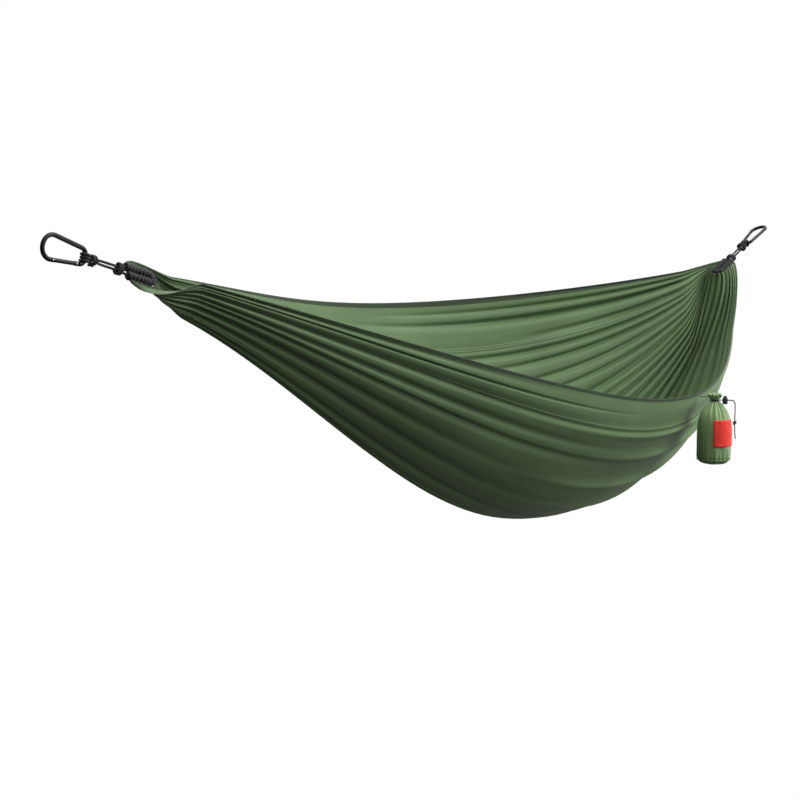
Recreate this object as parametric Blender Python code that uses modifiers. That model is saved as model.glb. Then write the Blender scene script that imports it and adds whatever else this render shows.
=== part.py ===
"""A gathered-end camping hammock, hung empty between two points, with its carabiners and stuff sack.

The origin is the left hang point, inside the wide bow of the left carabiner. +X runs to the right
hang point, -Y is the near side of the bed, +Z is up. Lengths are in metres.
"""

import math

import bmesh
import bpy
from mathutils import Matrix, Vector

MM = 0.001
NAME = "camping_hammock"

# The hammock as it hangs: gather to gather, and from each gather up to its hang point.
GATHER_SPAN = 2.30
SUSPENSION = 0.26
LEFT_SLOPE = math.radians(15.3)
RIGHT_SLOPE = math.radians(26.7)

# Each edge of the bed is an arch: its height, where it peaks along the span, and its fullness.
NEAR_SPREAD = (0.250, 0.660, 0.86)
NEAR_SAG = (0.335, 0.705, 0.56)
FAR_SPREAD = (0.300, 0.525, 1.40)
FAR_SAG = (0.100, 0.530, 1.00)
KEEL_SAG = (0.610, 0.635, 0.83)
KEEL_SHIFT = 0.065
SECTION_FLATNESS = 1.22
BUNCH_HALF_WIDTH = 0.030
BUNCH_DEPTH = 0.050
BUNCH_RISE = 0.010

# Cloth: the shares of the width that each strip takes, from the far rim to the near rim.
HEM_SHARE = 0.016
STRIP_SHARE = 0.085
SEAM_GAP = 0.0016
END_SEAM_GAP = 0.0130
CLOTH_THICK = 0.0016
HEM_THICK = 0.0016
END_MARGIN = 0.004

# End channels: a gathered sleeve bent into a hairpin round the gather rope.
CHANNEL_RADIUS = 0.0090
CHANNEL_BORE = 0.0037
CHANNEL_ARM = 0.0105
CHANNEL_MOUTH = -0.045
CHANNEL_BOTTOM = 0.025
CLOTH_CLEARANCE = 0.0036
FLARE = 2.4
GATHER_BLEND = 0.13
LEFT_ROLL = math.radians(55)
RIGHT_ROLL = math.radians(0)

ROPE_RADIUS = 0.0030
STRAND_OFFSET = 0.0036
CLOSE_BY = 0.020
SPLAY_FROM, SPLAY_OVER = 0.0110, 0.0090
WRAP_ACROSS = 0.0112
WRAP_THROUGH = 0.0084
WRAP_PITCH = 0.0066
CINCH_AT = 0.0220
CINCH_TURNS = 1.5
HITCH_BEFORE_BAR = 0.0290
HITCH_TURNS = 2.5
# The strands lie this way round half way along, so that they open from the sleeve and close on the bar.
LEFT_TWIST = math.radians(95)
RIGHT_TWIST = math.radians(40)
FIRST_TWIST = (0.004, 0.040)
LAST_TWIST = (0.052, 0.044)

# Carabiner, in millimetres, along its length from the rope bow (0) to the hang bow.
BAR_RADIUS = 4.75
LOOP_RADIUS = BAR_RADIUS * MM + ROPE_RADIUS + 0.0005
RING_CORNERS = ((0, -14, 13), (0, 16, 14), (109, 27, 24), (109, -27, 22))
GATE_RADIUS = 4.4
HINGE_AT = 20.0
NOSE_AT = 80.0
LEFT_TURN = math.radians(0)
RIGHT_TURN = math.radians(80)

# Stuff sack, drawcord and cord lock.
SACK_AT = 0.754
SACK_OUT = 0.050
SACK_RISE = 0.004
SACK_RADIUS = 0.045
CORD_RADIUS = 0.00125
TAIL_HEADING = math.radians(-60)
LABEL_HEADING = math.radians(-109)
LABEL_SIZE = 0.070
LABEL_DEPTH = 0.102
LABEL_CLEARANCE = 0.0012
NECK_DEPTH = 0.017
NECK_RING = 0.0128
LOCK_OUT = 0.0268
LOCK_RADIUS = 0.0068
LOCK_BORE = 0.0050
BUTTON_RADIUS = 0.0046
PIPING_RING, PIPING_DEPTH, PIPING_RADIUS = 0.0438, 0.1745, 0.0013
TAPE_RADIUS = 0.0022
KNOT_OUT = 0.0524
KNOT_DEPTH = 0.0600

# The sack's outline, from the middle of its mouth to the middle of its base: (radius, height).
SACK_PROFILE = (
    (0.0, 0.0), (0.012, 0.0), (0.0165, -0.003), (0.0160, -0.008), (0.0125, -0.0135), (0.0112, -0.0150),
    (0.0112, -0.0190), (0.0125, -0.0205), (0.020, -0.030), (0.031, -0.045), (0.040, -0.064),
    (0.044, -0.085), (SACK_RADIUS, -0.110), (SACK_RADIUS, -0.150), (0.0435, -0.168), (0.0390, -0.1780),
    (0.0300, -0.1850), (0.0, -0.1880),
)

COLOURS = {
    "cloth": ((0.105, 0.155, 0.082), 0.55, 0.0),
    "hem": ((0.045, 0.062, 0.040), 0.6, 0.0),
    "webbing": ((0.018, 0.018, 0.020), 0.75, 0.0),
    "rope": ((0.014, 0.014, 0.014), 0.7, 0.0),
    "anodised": ((0.020, 0.020, 0.022), 0.32, 0.85),
    "steel": ((0.50, 0.50, 0.49), 0.35, 1.0),
    "plastic": ((0.016, 0.016, 0.017), 0.45, 0.0),
    "label": ((0.73, 0.045, 0.030), 0.6, 0.0),
}


def clear_scene():
    """Remove whatever the scene holds."""
    for obj in list(bpy.data.objects):
        bpy.data.objects.remove(obj, do_unlink=True)


def new_collection(name):
    """A collection linked to the scene."""
    collection = bpy.data.collections.new(name)
    bpy.context.scene.collection.children.link(collection)
    return collection


def material(kind):
    """The Principled material of one kind of stuff, made once."""
    if kind in bpy.data.materials:
        return bpy.data.materials[kind]
    colour, roughness, metallic = COLOURS[kind]
    made = bpy.data.materials.new(kind)
    made.use_nodes = True
    shader = made.node_tree.nodes["Principled BSDF"]
    shader.inputs["Base Color"].default_value = (*colour, 1.0)
    shader.inputs["Roughness"].default_value = roughness
    shader.inputs["Metallic"].default_value = metallic
    made.diffuse_color = (*colour, 1.0)
    return made


def place(obj, kind, collection=None):
    """Give an object its material and put it in a collection, the parts' own unless another is named."""
    obj.data.materials.clear()
    obj.data.materials.append(material(kind))
    for held in list(obj.users_collection):
        held.objects.unlink(obj)
    (collection or bpy.data.collections[NAME]).objects.link(obj)
    return obj


def mesh_object(name, kind, build, collection=None):
    """An object whose mesh a function fills through bmesh."""
    mesh = bpy.data.meshes.new(name)
    shape = bmesh.new()
    build(shape)
    bmesh.ops.recalc_face_normals(shape, faces=shape.faces)
    shape.to_mesh(mesh)
    shape.free()
    obj = bpy.data.objects.new(name, mesh)
    bpy.context.scene.collection.objects.link(obj)
    return place(obj, kind, collection)


def tube(name, kind, points, radius, sides=2, cyclic=False, caps=True):
    """A round tube along a list of points, as a bevelled POLY curve."""
    curve = bpy.data.curves.new(name, "CURVE")
    curve.dimensions = "3D"
    curve.bevel_depth = radius
    curve.bevel_resolution = sides
    curve.use_fill_caps = caps and not cyclic
    spline = curve.splines.new("POLY")
    spline.points.add(len(points) - 1)
    for slot, point in zip(spline.points, points):
        slot.co = (*point, 1.0)
    spline.use_cyclic_u = cyclic
    obj = bpy.data.objects.new(name, curve)
    bpy.context.scene.collection.objects.link(obj)
    return place(obj, kind)


def curve_to_mesh(obj, kind):
    """Replace a curve object by its welded mesh, so that it can be cut."""
    graph = bpy.context.evaluated_depsgraph_get()
    mesh = bpy.data.meshes.new_from_object(obj.evaluated_get(graph))
    shape = bmesh.new()
    shape.from_mesh(mesh)
    bmesh.ops.remove_doubles(shape, verts=shape.verts, dist=1e-6)
    bmesh.ops.recalc_face_normals(shape, faces=shape.faces)
    shape.to_mesh(mesh)
    shape.free()
    name = obj.name
    world = obj.matrix_world.copy()
    bpy.data.objects.remove(obj, do_unlink=True)
    made = bpy.data.objects.new(name, mesh)
    bpy.context.scene.collection.objects.link(made)
    made.matrix_world = world
    return place(made, kind)


def cylinder(name, kind, radius, start, end, segments=20, collection=None):
    """A closed cylinder between two points."""
    start, end = Vector(start), Vector(end)
    axis = end - start
    turn = axis.to_track_quat("Z", "Y").to_matrix().to_4x4()
    seat = Matrix.Translation((start + end) / 2) @ turn

    def build(shape):
        bmesh.ops.create_cone(
            shape, cap_ends=True, segments=segments, radius1=radius, radius2=radius,
            depth=axis.length, matrix=seat,
        )

    return mesh_object(name, kind, build, collection)


def box(name, low, high, collection):
    """A closed box between two corners."""
    low, high = Vector(low), Vector(high)
    seat = Matrix.Translation((low + high) / 2) @ Matrix.Diagonal((*(high - low), 1.0))
    return mesh_object(
        name, "steel", lambda shape: bmesh.ops.create_cube(shape, size=1.0, matrix=seat), collection
    )


def cut(target, cutter):
    """Take a cutter out of a target with an EXACT Boolean."""
    cutter.hide_render = True
    cutter.display_type = "WIRE"
    knife = target.modifiers.new(cutter.name, "BOOLEAN")
    knife.operation = "DIFFERENCE"
    knife.solver = "EXACT"
    knife.object = cutter


def solidify(obj, thickness, offset=0.0):
    """Thicken an open surface into a closed shell."""
    shell = obj.modifiers.new("thickness", "SOLIDIFY")
    shell.thickness = thickness
    shell.offset = offset
    shell.use_even_offset = False


def smooth(x):
    """A smooth step from 0 to 1."""
    x = min(1.0, max(0.0, x))
    return x * x * (3.0 - 2.0 * x)


def arch(t, shape):
    """An arch over the span, from its height, the place of its peak and its fullness."""
    height, peak, fullness = shape
    return height * max(0.0, math.sin(math.pi * t ** (math.log(0.5) / math.log(peak)))) ** fullness


class End:
    """One gathered end: where it is, and the directions of its rope and channel."""

    def __init__(self, side, slope, roll, twist, turn):
        self.name = side
        self.sign = -1.0 if side == "left" else 1.0
        self.along = Vector((self.sign * math.cos(slope), 0.0, math.sin(slope)))
        self.up = Vector((-self.sign * math.sin(slope), 0.0, math.cos(slope)))
        self.hang = Vector((0.0, 0.0, 0.0))
        self.roll = roll
        self.twist = twist
        self.turn = turn

    @property
    def gather(self):
        """The middle of the bunched cloth."""
        return self.hang - self.along * SUSPENSION

    def offset(self, angle):
        """The unit vector across the rope, turned from +Y towards the end's up direction."""
        return Vector((0.0, math.cos(angle), 0.0)) + self.up * math.sin(angle)

    def at(self, inward, across, angle):
        """A point from how far it lies inward of the gather, and across it."""
        return self.gather - self.along * inward + self.offset(angle) * across


LEFT = End("left", LEFT_SLOPE, LEFT_ROLL, LEFT_TWIST, LEFT_TURN)
RIGHT = End("right", RIGHT_SLOPE, RIGHT_ROLL, RIGHT_TWIST, RIGHT_TURN)
RIGHT.hang = Vector((LEFT.gather.x + GATHER_SPAN + SUSPENSION * math.cos(RIGHT_SLOPE), 0.0, 0.0))


def hairpin(share, half_width, mouth, bottom):
    """A point on a U: straight arms from the mouth, then a half circle. Share runs 0 to 1 along it."""
    arm = bottom - half_width - mouth
    bend = math.pi * half_width
    run = share * (2 * arm + bend)
    if run < arm:
        return mouth + run, half_width
    if run > arm + bend:
        return mouth + (2 * arm + bend - run), -half_width
    angle = (run - arm) / half_width
    return mouth + arm + half_width * math.sin(angle), half_width * math.cos(angle)


def bunch(end, share, flare=0.0):
    """Where the cloth starts at a gathered end, round the outside of the channel, flared or not."""
    reach = CHANNEL_RADIUS + CLOTH_CLEARANCE
    inward, across = hairpin(
        share, CHANNEL_ARM + reach, CHANNEL_MOUTH + END_MARGIN, CHANNEL_BOTTOM + reach
    )
    return end.at(inward, across * (1.0 + flare), end.roll)


def trough(t, share):
    """The open bed at a place along the span, from the far rim (0) to the near rim (1)."""
    base = LEFT.gather.lerp(RIGHT.gather, t)
    keel = base + Vector((0.0, arch(t, (KEEL_SHIFT, 0.5, 1.0)), -BUNCH_DEPTH - arch(t, KEEL_SAG)))
    if share <= 0.5:
        spread = BUNCH_HALF_WIDTH + arch(t, FAR_SPREAD)
        rim = base + Vector((0.0, spread, BUNCH_RISE - arch(t, FAR_SAG)))
    else:
        spread = BUNCH_HALF_WIDTH + arch(t, NEAR_SPREAD)
        rim = base + Vector((0.0, -spread, BUNCH_RISE - arch(t, NEAR_SAG)))
    angle = math.pi * share
    out = abs(math.cos(angle)) ** SECTION_FLATNESS
    down = math.sin(angle) ** SECTION_FLATNESS
    return Vector((base.x, keel.y + (rim.y - keel.y) * out, rim.z + (keel.z - rim.z) * down))


def bed(t, share):
    """A point of the cloth, blended from the gathered ends into the open trough."""
    share = min(1.0, max(0.0, share))
    point = trough(t, share)
    for end, run in ((LEFT, t), (RIGHT, 1.0 - t)):
        held = 1.0 - smooth(run * GATHER_SPAN / GATHER_BLEND)
        point = point.lerp(bunch(end, share, FLARE * (1.0 - held)), held)
    return point


def station(step, steps):
    """Stations along the span, closer together at the gathers."""
    x = step / steps
    return x - 0.105 * math.sin(2 * math.pi * x)


def cloth_band(name, kind, first, last, columns, thick, rows=40):
    """A strip of the bed between two shares of its width, as a thickened grid."""

    def build(shape):
        made = bmesh.ops.create_grid(shape, x_segments=rows, y_segments=columns, size=0.5)
        for vert in made["verts"]:
            t = station(round((vert.co.x + 0.5) * rows), rows)
            inset = SEAM_GAP + END_SEAM_GAP * (1.0 - math.sin(math.pi * t)) ** 2
            inset = min(inset, (last - first) * 0.36)
            low, high = first + inset, last - inset
            vert.co = bed(t, low + (high - low) * (vert.co.y + 0.5))

    obj = mesh_object(name, kind, build)
    solidify(obj, thick)
    return obj


def make_bed():
    """The panels of the bed and its two rim hems."""
    strip_end = HEM_SHARE + STRIP_SHARE
    cloth_band("far_rim_hem", "hem", 0.0, HEM_SHARE, 1, HEM_THICK)
    cloth_band("far_side_strip", "cloth", HEM_SHARE, strip_end, 2, CLOTH_THICK)
    cloth_band("centre_panel", "cloth", strip_end, 1 - strip_end, 10, CLOTH_THICK)
    cloth_band("near_side_strip", "cloth", 1 - strip_end, 1 - HEM_SHARE, 2, CLOTH_THICK)
    cloth_band("near_rim_hem", "hem", 1 - HEM_SHARE, 1.0, 1, HEM_THICK)


def make_channel(end):
    """The black sleeve sewn over the end of the cloth, hollow for the gather rope."""
    points = []
    for step in range(17):
        inward, across = hairpin(step / 16, CHANNEL_ARM, CHANNEL_MOUTH, CHANNEL_BOTTOM)
        points.append(end.at(inward, across, end.roll))
    sleeve = tube(f"{end.name}_end_channel", "webbing", points, CHANNEL_RADIUS, sides=2, caps=False)
    sleeve = curve_to_mesh(sleeve, "webbing")
    solidify(sleeve, CHANNEL_RADIUS - CHANNEL_BORE, offset=-1.0)


def rope_reach():
    """How far the rope runs from the channel's mouth to the middle of the carabiner's bar."""
    return SUSPENSION + CHANNEL_MOUTH - ring_length()


def ring_length():
    """From the middle of the bar at the rope bow to the inside of the hang bow."""
    return (RING_CORNERS[2][0] - BAR_RADIUS) * MM


def strand(end, run, side, across=None):
    """A point on one of the two strands, at a distance from the channel's mouth."""
    reach = rope_reach()
    wide = CHANNEL_ARM + (STRAND_OFFSET - CHANNEL_ARM) * smooth(run / CLOSE_BY)
    wide += (LOOP_RADIUS - STRAND_OFFSET) * smooth((run - reach + SPLAY_FROM) / SPLAY_OVER)
    angle = end.roll + (end.twist - end.roll) * smooth((run - FIRST_TWIST[0]) / FIRST_TWIST[1])
    angle += (end.turn - end.twist) * smooth((run - reach + LAST_TWIST[0]) / LAST_TWIST[1])
    if across is None:
        across = side * wide
    return end.at(CHANNEL_MOUTH - run, across, angle), angle


def make_gather_rope(end):
    """One closed loop of rope: through the channel, out as two strands and over the carabiner's bar."""
    points = []
    for step in range(17):
        inward, across = hairpin(step / 16, CHANNEL_ARM, CHANNEL_MOUTH, CHANNEL_BOTTOM)
        points.append(end.at(inward, across, end.roll))
    reach = rope_reach()
    steps = 16
    near_side = [strand(end, reach * step / steps, -1.0)[0] for step in range(1, steps)]
    far_side = [strand(end, reach * step / steps, 1.0)[0] for step in range(1, steps)]
    over_bar = []
    for step in range(7):
        angle = math.pi * step / 6
        beyond = reach + LOOP_RADIUS * math.sin(angle)
        over_bar.append(end.at(CHANNEL_MOUTH - beyond, -LOOP_RADIUS * math.cos(angle), end.turn))
    points += near_side + over_bar + far_side[::-1]
    tube(f"{end.name}_gather_rope", "rope", points, ROPE_RADIUS, cyclic=True)


def make_wrap(name, end, start, turns, tail):
    """A knot: rope wound round both strands, its two ends standing out as short tails."""
    points = []
    around = 10
    last = int(turns * around)
    for step in range(-3, last + 4):
        theta = 2 * math.pi * step / around
        run = start + WRAP_PITCH * min(last, max(0, step)) / around
        free = max(0, -step, step - last)
        grow = 1.0 + 0.16 * free * tail
        centre, angle = strand(end, run, 0.0, across=0.0)
        out = end.offset(angle) * (WRAP_ACROSS * math.cos(theta) * grow)
        through = end.offset(angle + math.pi / 2) * (WRAP_THROUGH * math.sin(theta) * grow)
        points.append(centre + out + through)
    tube(name, "rope", points, ROPE_RADIUS)


def rounded(corners, steps=5):
    """A polyline through corners given as (x, y, radius), each rounded by an arc. The ends are sharp."""
    points = [Vector(corners[0][:2])]
    for before, corner, after in zip(corners, corners[1:], corners[2:]):
        here = Vector(corner[:2])
        back = (Vector(before[:2]) - here).normalized()
        ahead = (Vector(after[:2]) - here).normalized()
        half = back.angle(ahead) / 2
        centre = here + (back + ahead).normalized() * (corner[2] / math.sin(half))
        first = here + back * (corner[2] / math.tan(half)) - centre
        sweep = first.angle_signed(here + ahead * (corner[2] / math.tan(half)) - centre)
        for step in range(steps + 1):
            turn = -sweep * step / steps
            spun = Vector((
                first.x * math.cos(turn) - first.y * math.sin(turn),
                first.x * math.sin(turn) + first.y * math.cos(turn),
            ))
            points.append(centre + spun)
    points.append(Vector(corners[-1][:2]))
    return points


def gate_line(distance, height=0.0):
    """A point in the ring's plane, along the gate from the rope bow, and towards the inside of the ring."""
    start, end = Vector(RING_CORNERS[0][:2]), Vector(RING_CORNERS[3][:2])
    ahead = (end - start).normalized()
    return start + ahead * distance + Vector((-ahead.y, ahead.x)) * height


def ring_frame(end):
    """The matrix from the carabiner's own frame (in mm) to the world."""
    spine_side = end.up * math.cos(end.turn) - Vector((0.0, math.sin(end.turn), 0.0))
    face = end.along.cross(spine_side)
    turn = Matrix((end.along, spine_side, face)).transposed().to_4x4()
    seat = Matrix.Translation(end.hang - end.along * ring_length())
    return seat @ turn @ Matrix.Scale(MM, 4)


def gate_frame(end):
    """The matrix from the gate's own frame: x along the gate, y into the ring, origin on its hinge."""
    start, nose = gate_line(HINGE_AT), gate_line(NOSE_AT)
    ahead = (nose - start).normalized()
    turn = Matrix.Rotation(math.atan2(ahead.y, ahead.x), 4, "Z")
    return ring_frame(end) @ Matrix.Translation((start.x, start.y, 0.0)) @ turn


def empty(name, world):
    """An empty that a moving piece hangs on, at its joint."""
    obj = bpy.data.objects.new(name, None)
    bpy.data.collections[NAME].objects.link(obj)
    obj.matrix_world = world
    return obj


def hold(parent, *children):
    """Parent objects whose meshes are in the parent's own frame."""
    for child in children:
        child.parent = parent


def make_carabiner(end, cutters):
    """The open frame, its two tongues and the rivet that the gate turns on."""
    name = end.name
    seat = empty(f"{name}_carabiner_seat", ring_frame(end))
    bar_start, bar_end = HINGE_AT - 6.8, NOSE_AT + 6.0
    start, stop = gate_line(HINGE_AT + 4.4), gate_line(NOSE_AT - 4.2)
    corners = ((start.x, start.y), *RING_CORNERS, (stop.x, stop.y))
    path = [(point.x, point.y, 0.0) for point in rounded(corners)]
    frame = tube(f"{name}_carabiner_frame", "anodised", path, BAR_RADIUS, sides=4)
    frame = curve_to_mesh(frame, "anodised")
    gate_seat = empty(f"{name}_gate_seat", gate_frame(end))
    wide = BAR_RADIUS + 2
    reliefs = []
    for face in (-1.0, 1.0):
        low, high = sorted((face * 1.5, face * wide))
        reliefs.append(((bar_start - HINGE_AT, -wide, low), (6.0, wide, high)))
        reliefs.append(((NOSE_AT - HINGE_AT - 6.0, -wide, low), (bar_end - HINGE_AT, wide, high)))
    notch_low, notch_high = NOSE_AT - HINGE_AT - 1.7, NOSE_AT - HINGE_AT + 1.7
    reliefs.append(((notch_low, -1.7, -wide), (notch_high, wide, wide)))
    for count, (low, high) in enumerate(reliefs):
        cutter = box(f"{name}_frame_cut_{count}", low, high, cutters)
        hold(gate_seat, cutter)
        cut(frame, cutter)
    hole = cylinder(f"{name}_rivet_hole", "steel", 1.9, (0, 0, -wide), (0, 0, wide), 12, cutters)
    hold(gate_seat, hole)
    cut(frame, hole)
    for face in (-1.0, 1.0):
        low, high = sorted((face * 3.7, face * wide))
        flat = box(f"{name}_spine_flat_{int(face)}", (20, 10, low), (88, 35, high), cutters)
        hold(seat, flat)
        cut(frame, flat)
    rivet = cylinder(f"{name}_gate_rivet", "steel", 1.5, (0, 0, -4.4), (0, 0, 4.4), 16)
    hold(seat, frame)
    hold(gate_seat, rivet)
    make_gate(end, gate_seat, cutters)


def make_gate(end, seat, cutters):
    """The gate, slotted at both ends, with its nose pin and the spring and push pin that close it."""
    name = end.name
    length = NOSE_AT - HINGE_AT
    gate = cylinder(f"{name}_carabiner_gate", "anodised", GATE_RADIUS, (-4.5, 0, 0), (length + 4.5, 0, 0), 16)
    wide = GATE_RADIUS + 2
    slots = (
        box(f"{name}_hinge_slot", (-8, -wide, -1.85), (6.9, wide, 1.85), cutters),
        box(f"{name}_nose_slot", (length - 6.5, -wide, -1.85), (length + 8, wide, 1.85), cutters),
        cylinder(f"{name}_spring_bore", "steel", 2.5, (5, 0, 0), (26, 0, 0), 12, cutters),
        cylinder(f"{name}_hinge_hole", "steel", 1.9, (0, 0, -wide), (0, 0, wide), 12, cutters),
        cylinder(f"{name}_nose_hole", "steel", 1.6, (length, 0, -wide), (length, 0, wide), 12, cutters),
    )
    for cutter in slots:
        hold(seat, cutter)
        cut(gate, cutter)
    nose_pin = cylinder(f"{name}_nose_pin", "steel", 1.25, (length, 0, -4.3), (length, 0, 4.3), 14)
    push_pin = cylinder(f"{name}_gate_push_pin", "steel", 2.0, (6.95, 0, 0), (11.0, 0, 0), 14)
    coil = helix((11.7, 0, 0), (25.2, 0, 0), 1.9, turns=4, around=8)
    spring = tube(f"{name}_gate_spring", "steel", coil, 0.3, sides=0)
    hold(seat, gate, nose_pin, push_pin, spring)


def helix(start, end, radius, turns, around):
    """A coil of wire between two points."""
    start, end = Vector(start), Vector(end)
    axis = (end - start).normalized()
    side = axis.orthogonal().normalized()
    other = axis.cross(side)
    points = []
    for step in range(turns * around + 1):
        angle = 2 * math.pi * step / around
        centre = start.lerp(end, step / (turns * around))
        points.append(centre + (side * math.cos(angle) + other * math.sin(angle)) * radius)
    return points


def sack_seat():
    """The rim point that the sack hangs on, and the horizontal direction along the rim there."""
    share = 1.0 - HEM_SHARE / 2
    here = bed(SACK_AT, share)
    along = bed(SACK_AT + 0.01, share) - bed(SACK_AT - 0.01, share)
    along.z = 0.0
    return here, along.normalized()


def turned(name, kind, profile, centre, steps=20):
    """A solid of revolution about the vertical, from a profile of (radius, height) top to bottom."""

    def build(shape):
        verts = [shape.verts.new((radius, 0.0, height)) for radius, height in profile]
        for first, second in zip(verts, verts[1:]):
            shape.edges.new((first, second))

    obj = mesh_object(name, kind, build)
    obj.location = centre
    spin = obj.modifiers.new("turn", "SCREW")
    spin.steps = steps
    spin.render_steps = steps
    spin.use_merge_vertices = True
    spin.merge_threshold = 0.00001
    return obj


def heading(angle):
    """A horizontal unit vector."""
    return Vector((math.cos(angle), math.sin(angle), 0.0))


def make_sack(cutters):
    """The stuff sack that is sewn to the near rim, with its drawcord and cord lock."""
    rim, along = sack_seat()
    out = Vector((along.y, -along.x, 0.0))
    top = rim + out * SACK_OUT + Vector((0.0, 0.0, SACK_RISE))
    seat = empty("sack_seat", Matrix.Translation(rim))
    parts = [make_sack_body(top), make_base_seam(top), make_label(top), make_loop(rim, out, top)]
    neck = top + Vector((0.0, 0.0, -NECK_DEPTH))
    ring = [neck + heading(2 * math.pi * step / 20) * NECK_RING for step in range(20)]
    parts.append(tube("sack_drawcord", "rope", ring, CORD_RADIUS, cyclic=True))
    parts += make_tails(neck)
    parts += make_cord_lock(neck, cutters)
    for part in parts:
        world = part.matrix_world.copy() if part.type != "MESH" else Matrix.Translation(part.location)
        part.parent = seat
        part.matrix_parent_inverse = Matrix.Translation(-rim)
        part.matrix_basis = world


def make_sack_body(top):
    """The filled sack: frilled mouth, neck, shoulders, body and rounded base."""
    return turned("sack_body", "cloth", SACK_PROFILE, top)


def make_base_seam(top):
    """The piping round the edge of the base."""
    points = []
    for step in range(24):
        around = heading(2 * math.pi * step / 24) * PIPING_RING
        points.append(top + around + Vector((0.0, 0.0, -PIPING_DEPTH)))
    return tube("sack_base_piping", "hem", points, PIPING_RADIUS, cyclic=True)


def sack_radius(height):
    """The sack's radius at a height on its side."""
    for (wide, high), (next_wide, low) in zip(SACK_PROFILE, SACK_PROFILE[1:]):
        if low <= height < high:
            return wide + (next_wide - wide) * (high - height) / (high - low)
    return SACK_RADIUS


def make_label(top):
    """The square woven label, bent round the sack."""
    half = LABEL_SIZE / 2

    def build(shape):
        made = bmesh.ops.create_grid(shape, x_segments=10, y_segments=6, size=0.5)
        for vert in made["verts"]:
            height = -LABEL_DEPTH + vert.co.y * 2 * half
            angle = LABEL_HEADING + vert.co.x * 2 * half / SACK_RADIUS
            across = heading(angle) * (sack_radius(height) + LABEL_CLEARANCE)
            vert.co = Vector((across.x, across.y, height))

    label = mesh_object("sack_label", "label", build)
    label.location = top
    solidify(label, 0.0008)
    return label


def make_loop(rim, out, top):
    """The short tape that joins the sack's mouth to the rim hem."""
    start = rim + out * 0.0085 + Vector((0.0, 0.0, -0.006))
    end = top - out * 0.0176 + Vector((0.0, 0.0, -0.006))
    middle = start.lerp(end, 0.5) + Vector((0.0, 0.0, -0.004))
    points = []
    for step in range(9):
        share = step / 8
        points.append(start * (1 - share) ** 2 + middle * (2 * share * (1 - share)) + end * share ** 2)
    return tube("sack_loop_tape", "webbing", points, TAPE_RADIUS)


def tail_route(neck, side):
    """The route of one drawcord tail: out through the cord lock, then down the outside of the sack."""
    across = heading(TAIL_HEADING + math.pi / 2) * (side * 0.0017)
    stops = (
        (0.0146, 0.0), (0.022, 0.0), (0.030, 0.0), (0.0375, 0.0), (0.0435, -0.0001), (0.0490, -0.0022),
        (0.0522, -0.0080), (0.0530, -0.0170), (0.0530, -0.028), (0.0528, -0.040), (0.0525, -0.052),
        (0.0524, -0.062), (0.0526, -0.072), (0.0530, -0.082), (0.0538, -0.092), (0.0548, -0.102),
    )
    route = []
    for reach, drop in stops:
        spread = 1.0 + max(0.0, -drop - 0.070) * 70 * (0.6 if side < 0 else 1.0)
        route.append(neck + heading(TAIL_HEADING) * reach + across * spread + Vector((0.0, 0.0, drop)))
    return route


def through(points, per_stretch=2):
    """Points on the smooth curve through a route."""
    ends = [points[0] * 2 - points[1], *points, points[-1] * 2 - points[-2]]
    out = []
    for a, b, c, d in zip(ends, ends[1:], ends[2:], ends[3:]):
        for step in range(per_stretch):
            s = step / per_stretch
            bend = a * 2 - b * 5 + c * 4 - d
            turn = b * 3 - a - c * 3 + d
            out.append((b * 2 + (c - a) * s + bend * s ** 2 + turn * s ** 3) * 0.5)
    return [*out, points[-1]]


def make_tails(neck):
    """The two hanging ends of the drawcord and the knot that holds them together."""
    made = []
    for side, letter in ((-1.0, "a"), (1.0, "b")):
        made.append(tube(f"drawcord_tail_{letter}", "rope", through(tail_route(neck, side)), CORD_RADIUS))
    middle = neck + heading(TAIL_HEADING) * KNOT_OUT + Vector((0.0, 0.0, -KNOT_DEPTH))
    side = heading(TAIL_HEADING + math.pi / 2)
    face = heading(TAIL_HEADING)
    points = []
    for step in range(25):
        angle = 2 * math.pi * step / 12
        level = Vector((0.0, 0.0, 0.0030 * (1 - 2 * step / 24)))
        points.append(middle + side * (0.0047 * math.cos(angle)) + face * (0.0034 * math.sin(angle)) + level)
    made.append(tube("drawcord_knot", "rope", points, CORD_RADIUS))
    return made


def make_cord_lock(neck, cutters):
    """The spring-loaded toggle on the drawcord: barrel, push button and spring."""
    centre = neck + heading(TAIL_HEADING) * LOCK_OUT

    def upright(name, radius, low, high, collection=None):
        ends = (centre + Vector((0.0, 0.0, low)), centre + Vector((0.0, 0.0, high)))
        return cylinder(name, "plastic", radius, *ends, 18, collection)

    barrel = upright("cord_lock_barrel", LOCK_RADIUS, -0.0105, 0.0065)
    bore = upright("lock_bore", LOCK_BORE, -0.0090, 0.0080, cutters)
    button = upright("cord_lock_button", BUTTON_RADIUS, -0.0035, 0.0115)
    turn = Matrix.Rotation(TAIL_HEADING, 4, "Z")

    def passage(name, low, high):
        seat = Matrix.Translation(centre) @ turn @ Matrix.Translation((0.0, 0.0, (low + high) / 2))
        size = Matrix.Diagonal((0.030, 0.0068, high - low, 1.0))
        return mesh_object(
            name, "plastic", lambda shape: bmesh.ops.create_cube(shape, size=1.0, matrix=seat @ size), cutters
        )

    cut(barrel, bore)
    cut(barrel, passage("lock_passage", -0.0018, 0.0018))
    cut(button, passage("button_passage", -0.0018, 0.0050))
    low, high = Vector((0.0, 0.0, -0.0084)), Vector((0.0, 0.0, -0.0042))
    coil = helix(centre + low, centre + high, 0.0036, turns=3, around=9)
    spring = tube("cord_lock_spring", "steel", coil, 0.00035, sides=0)
    return [barrel, button, spring]


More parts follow.
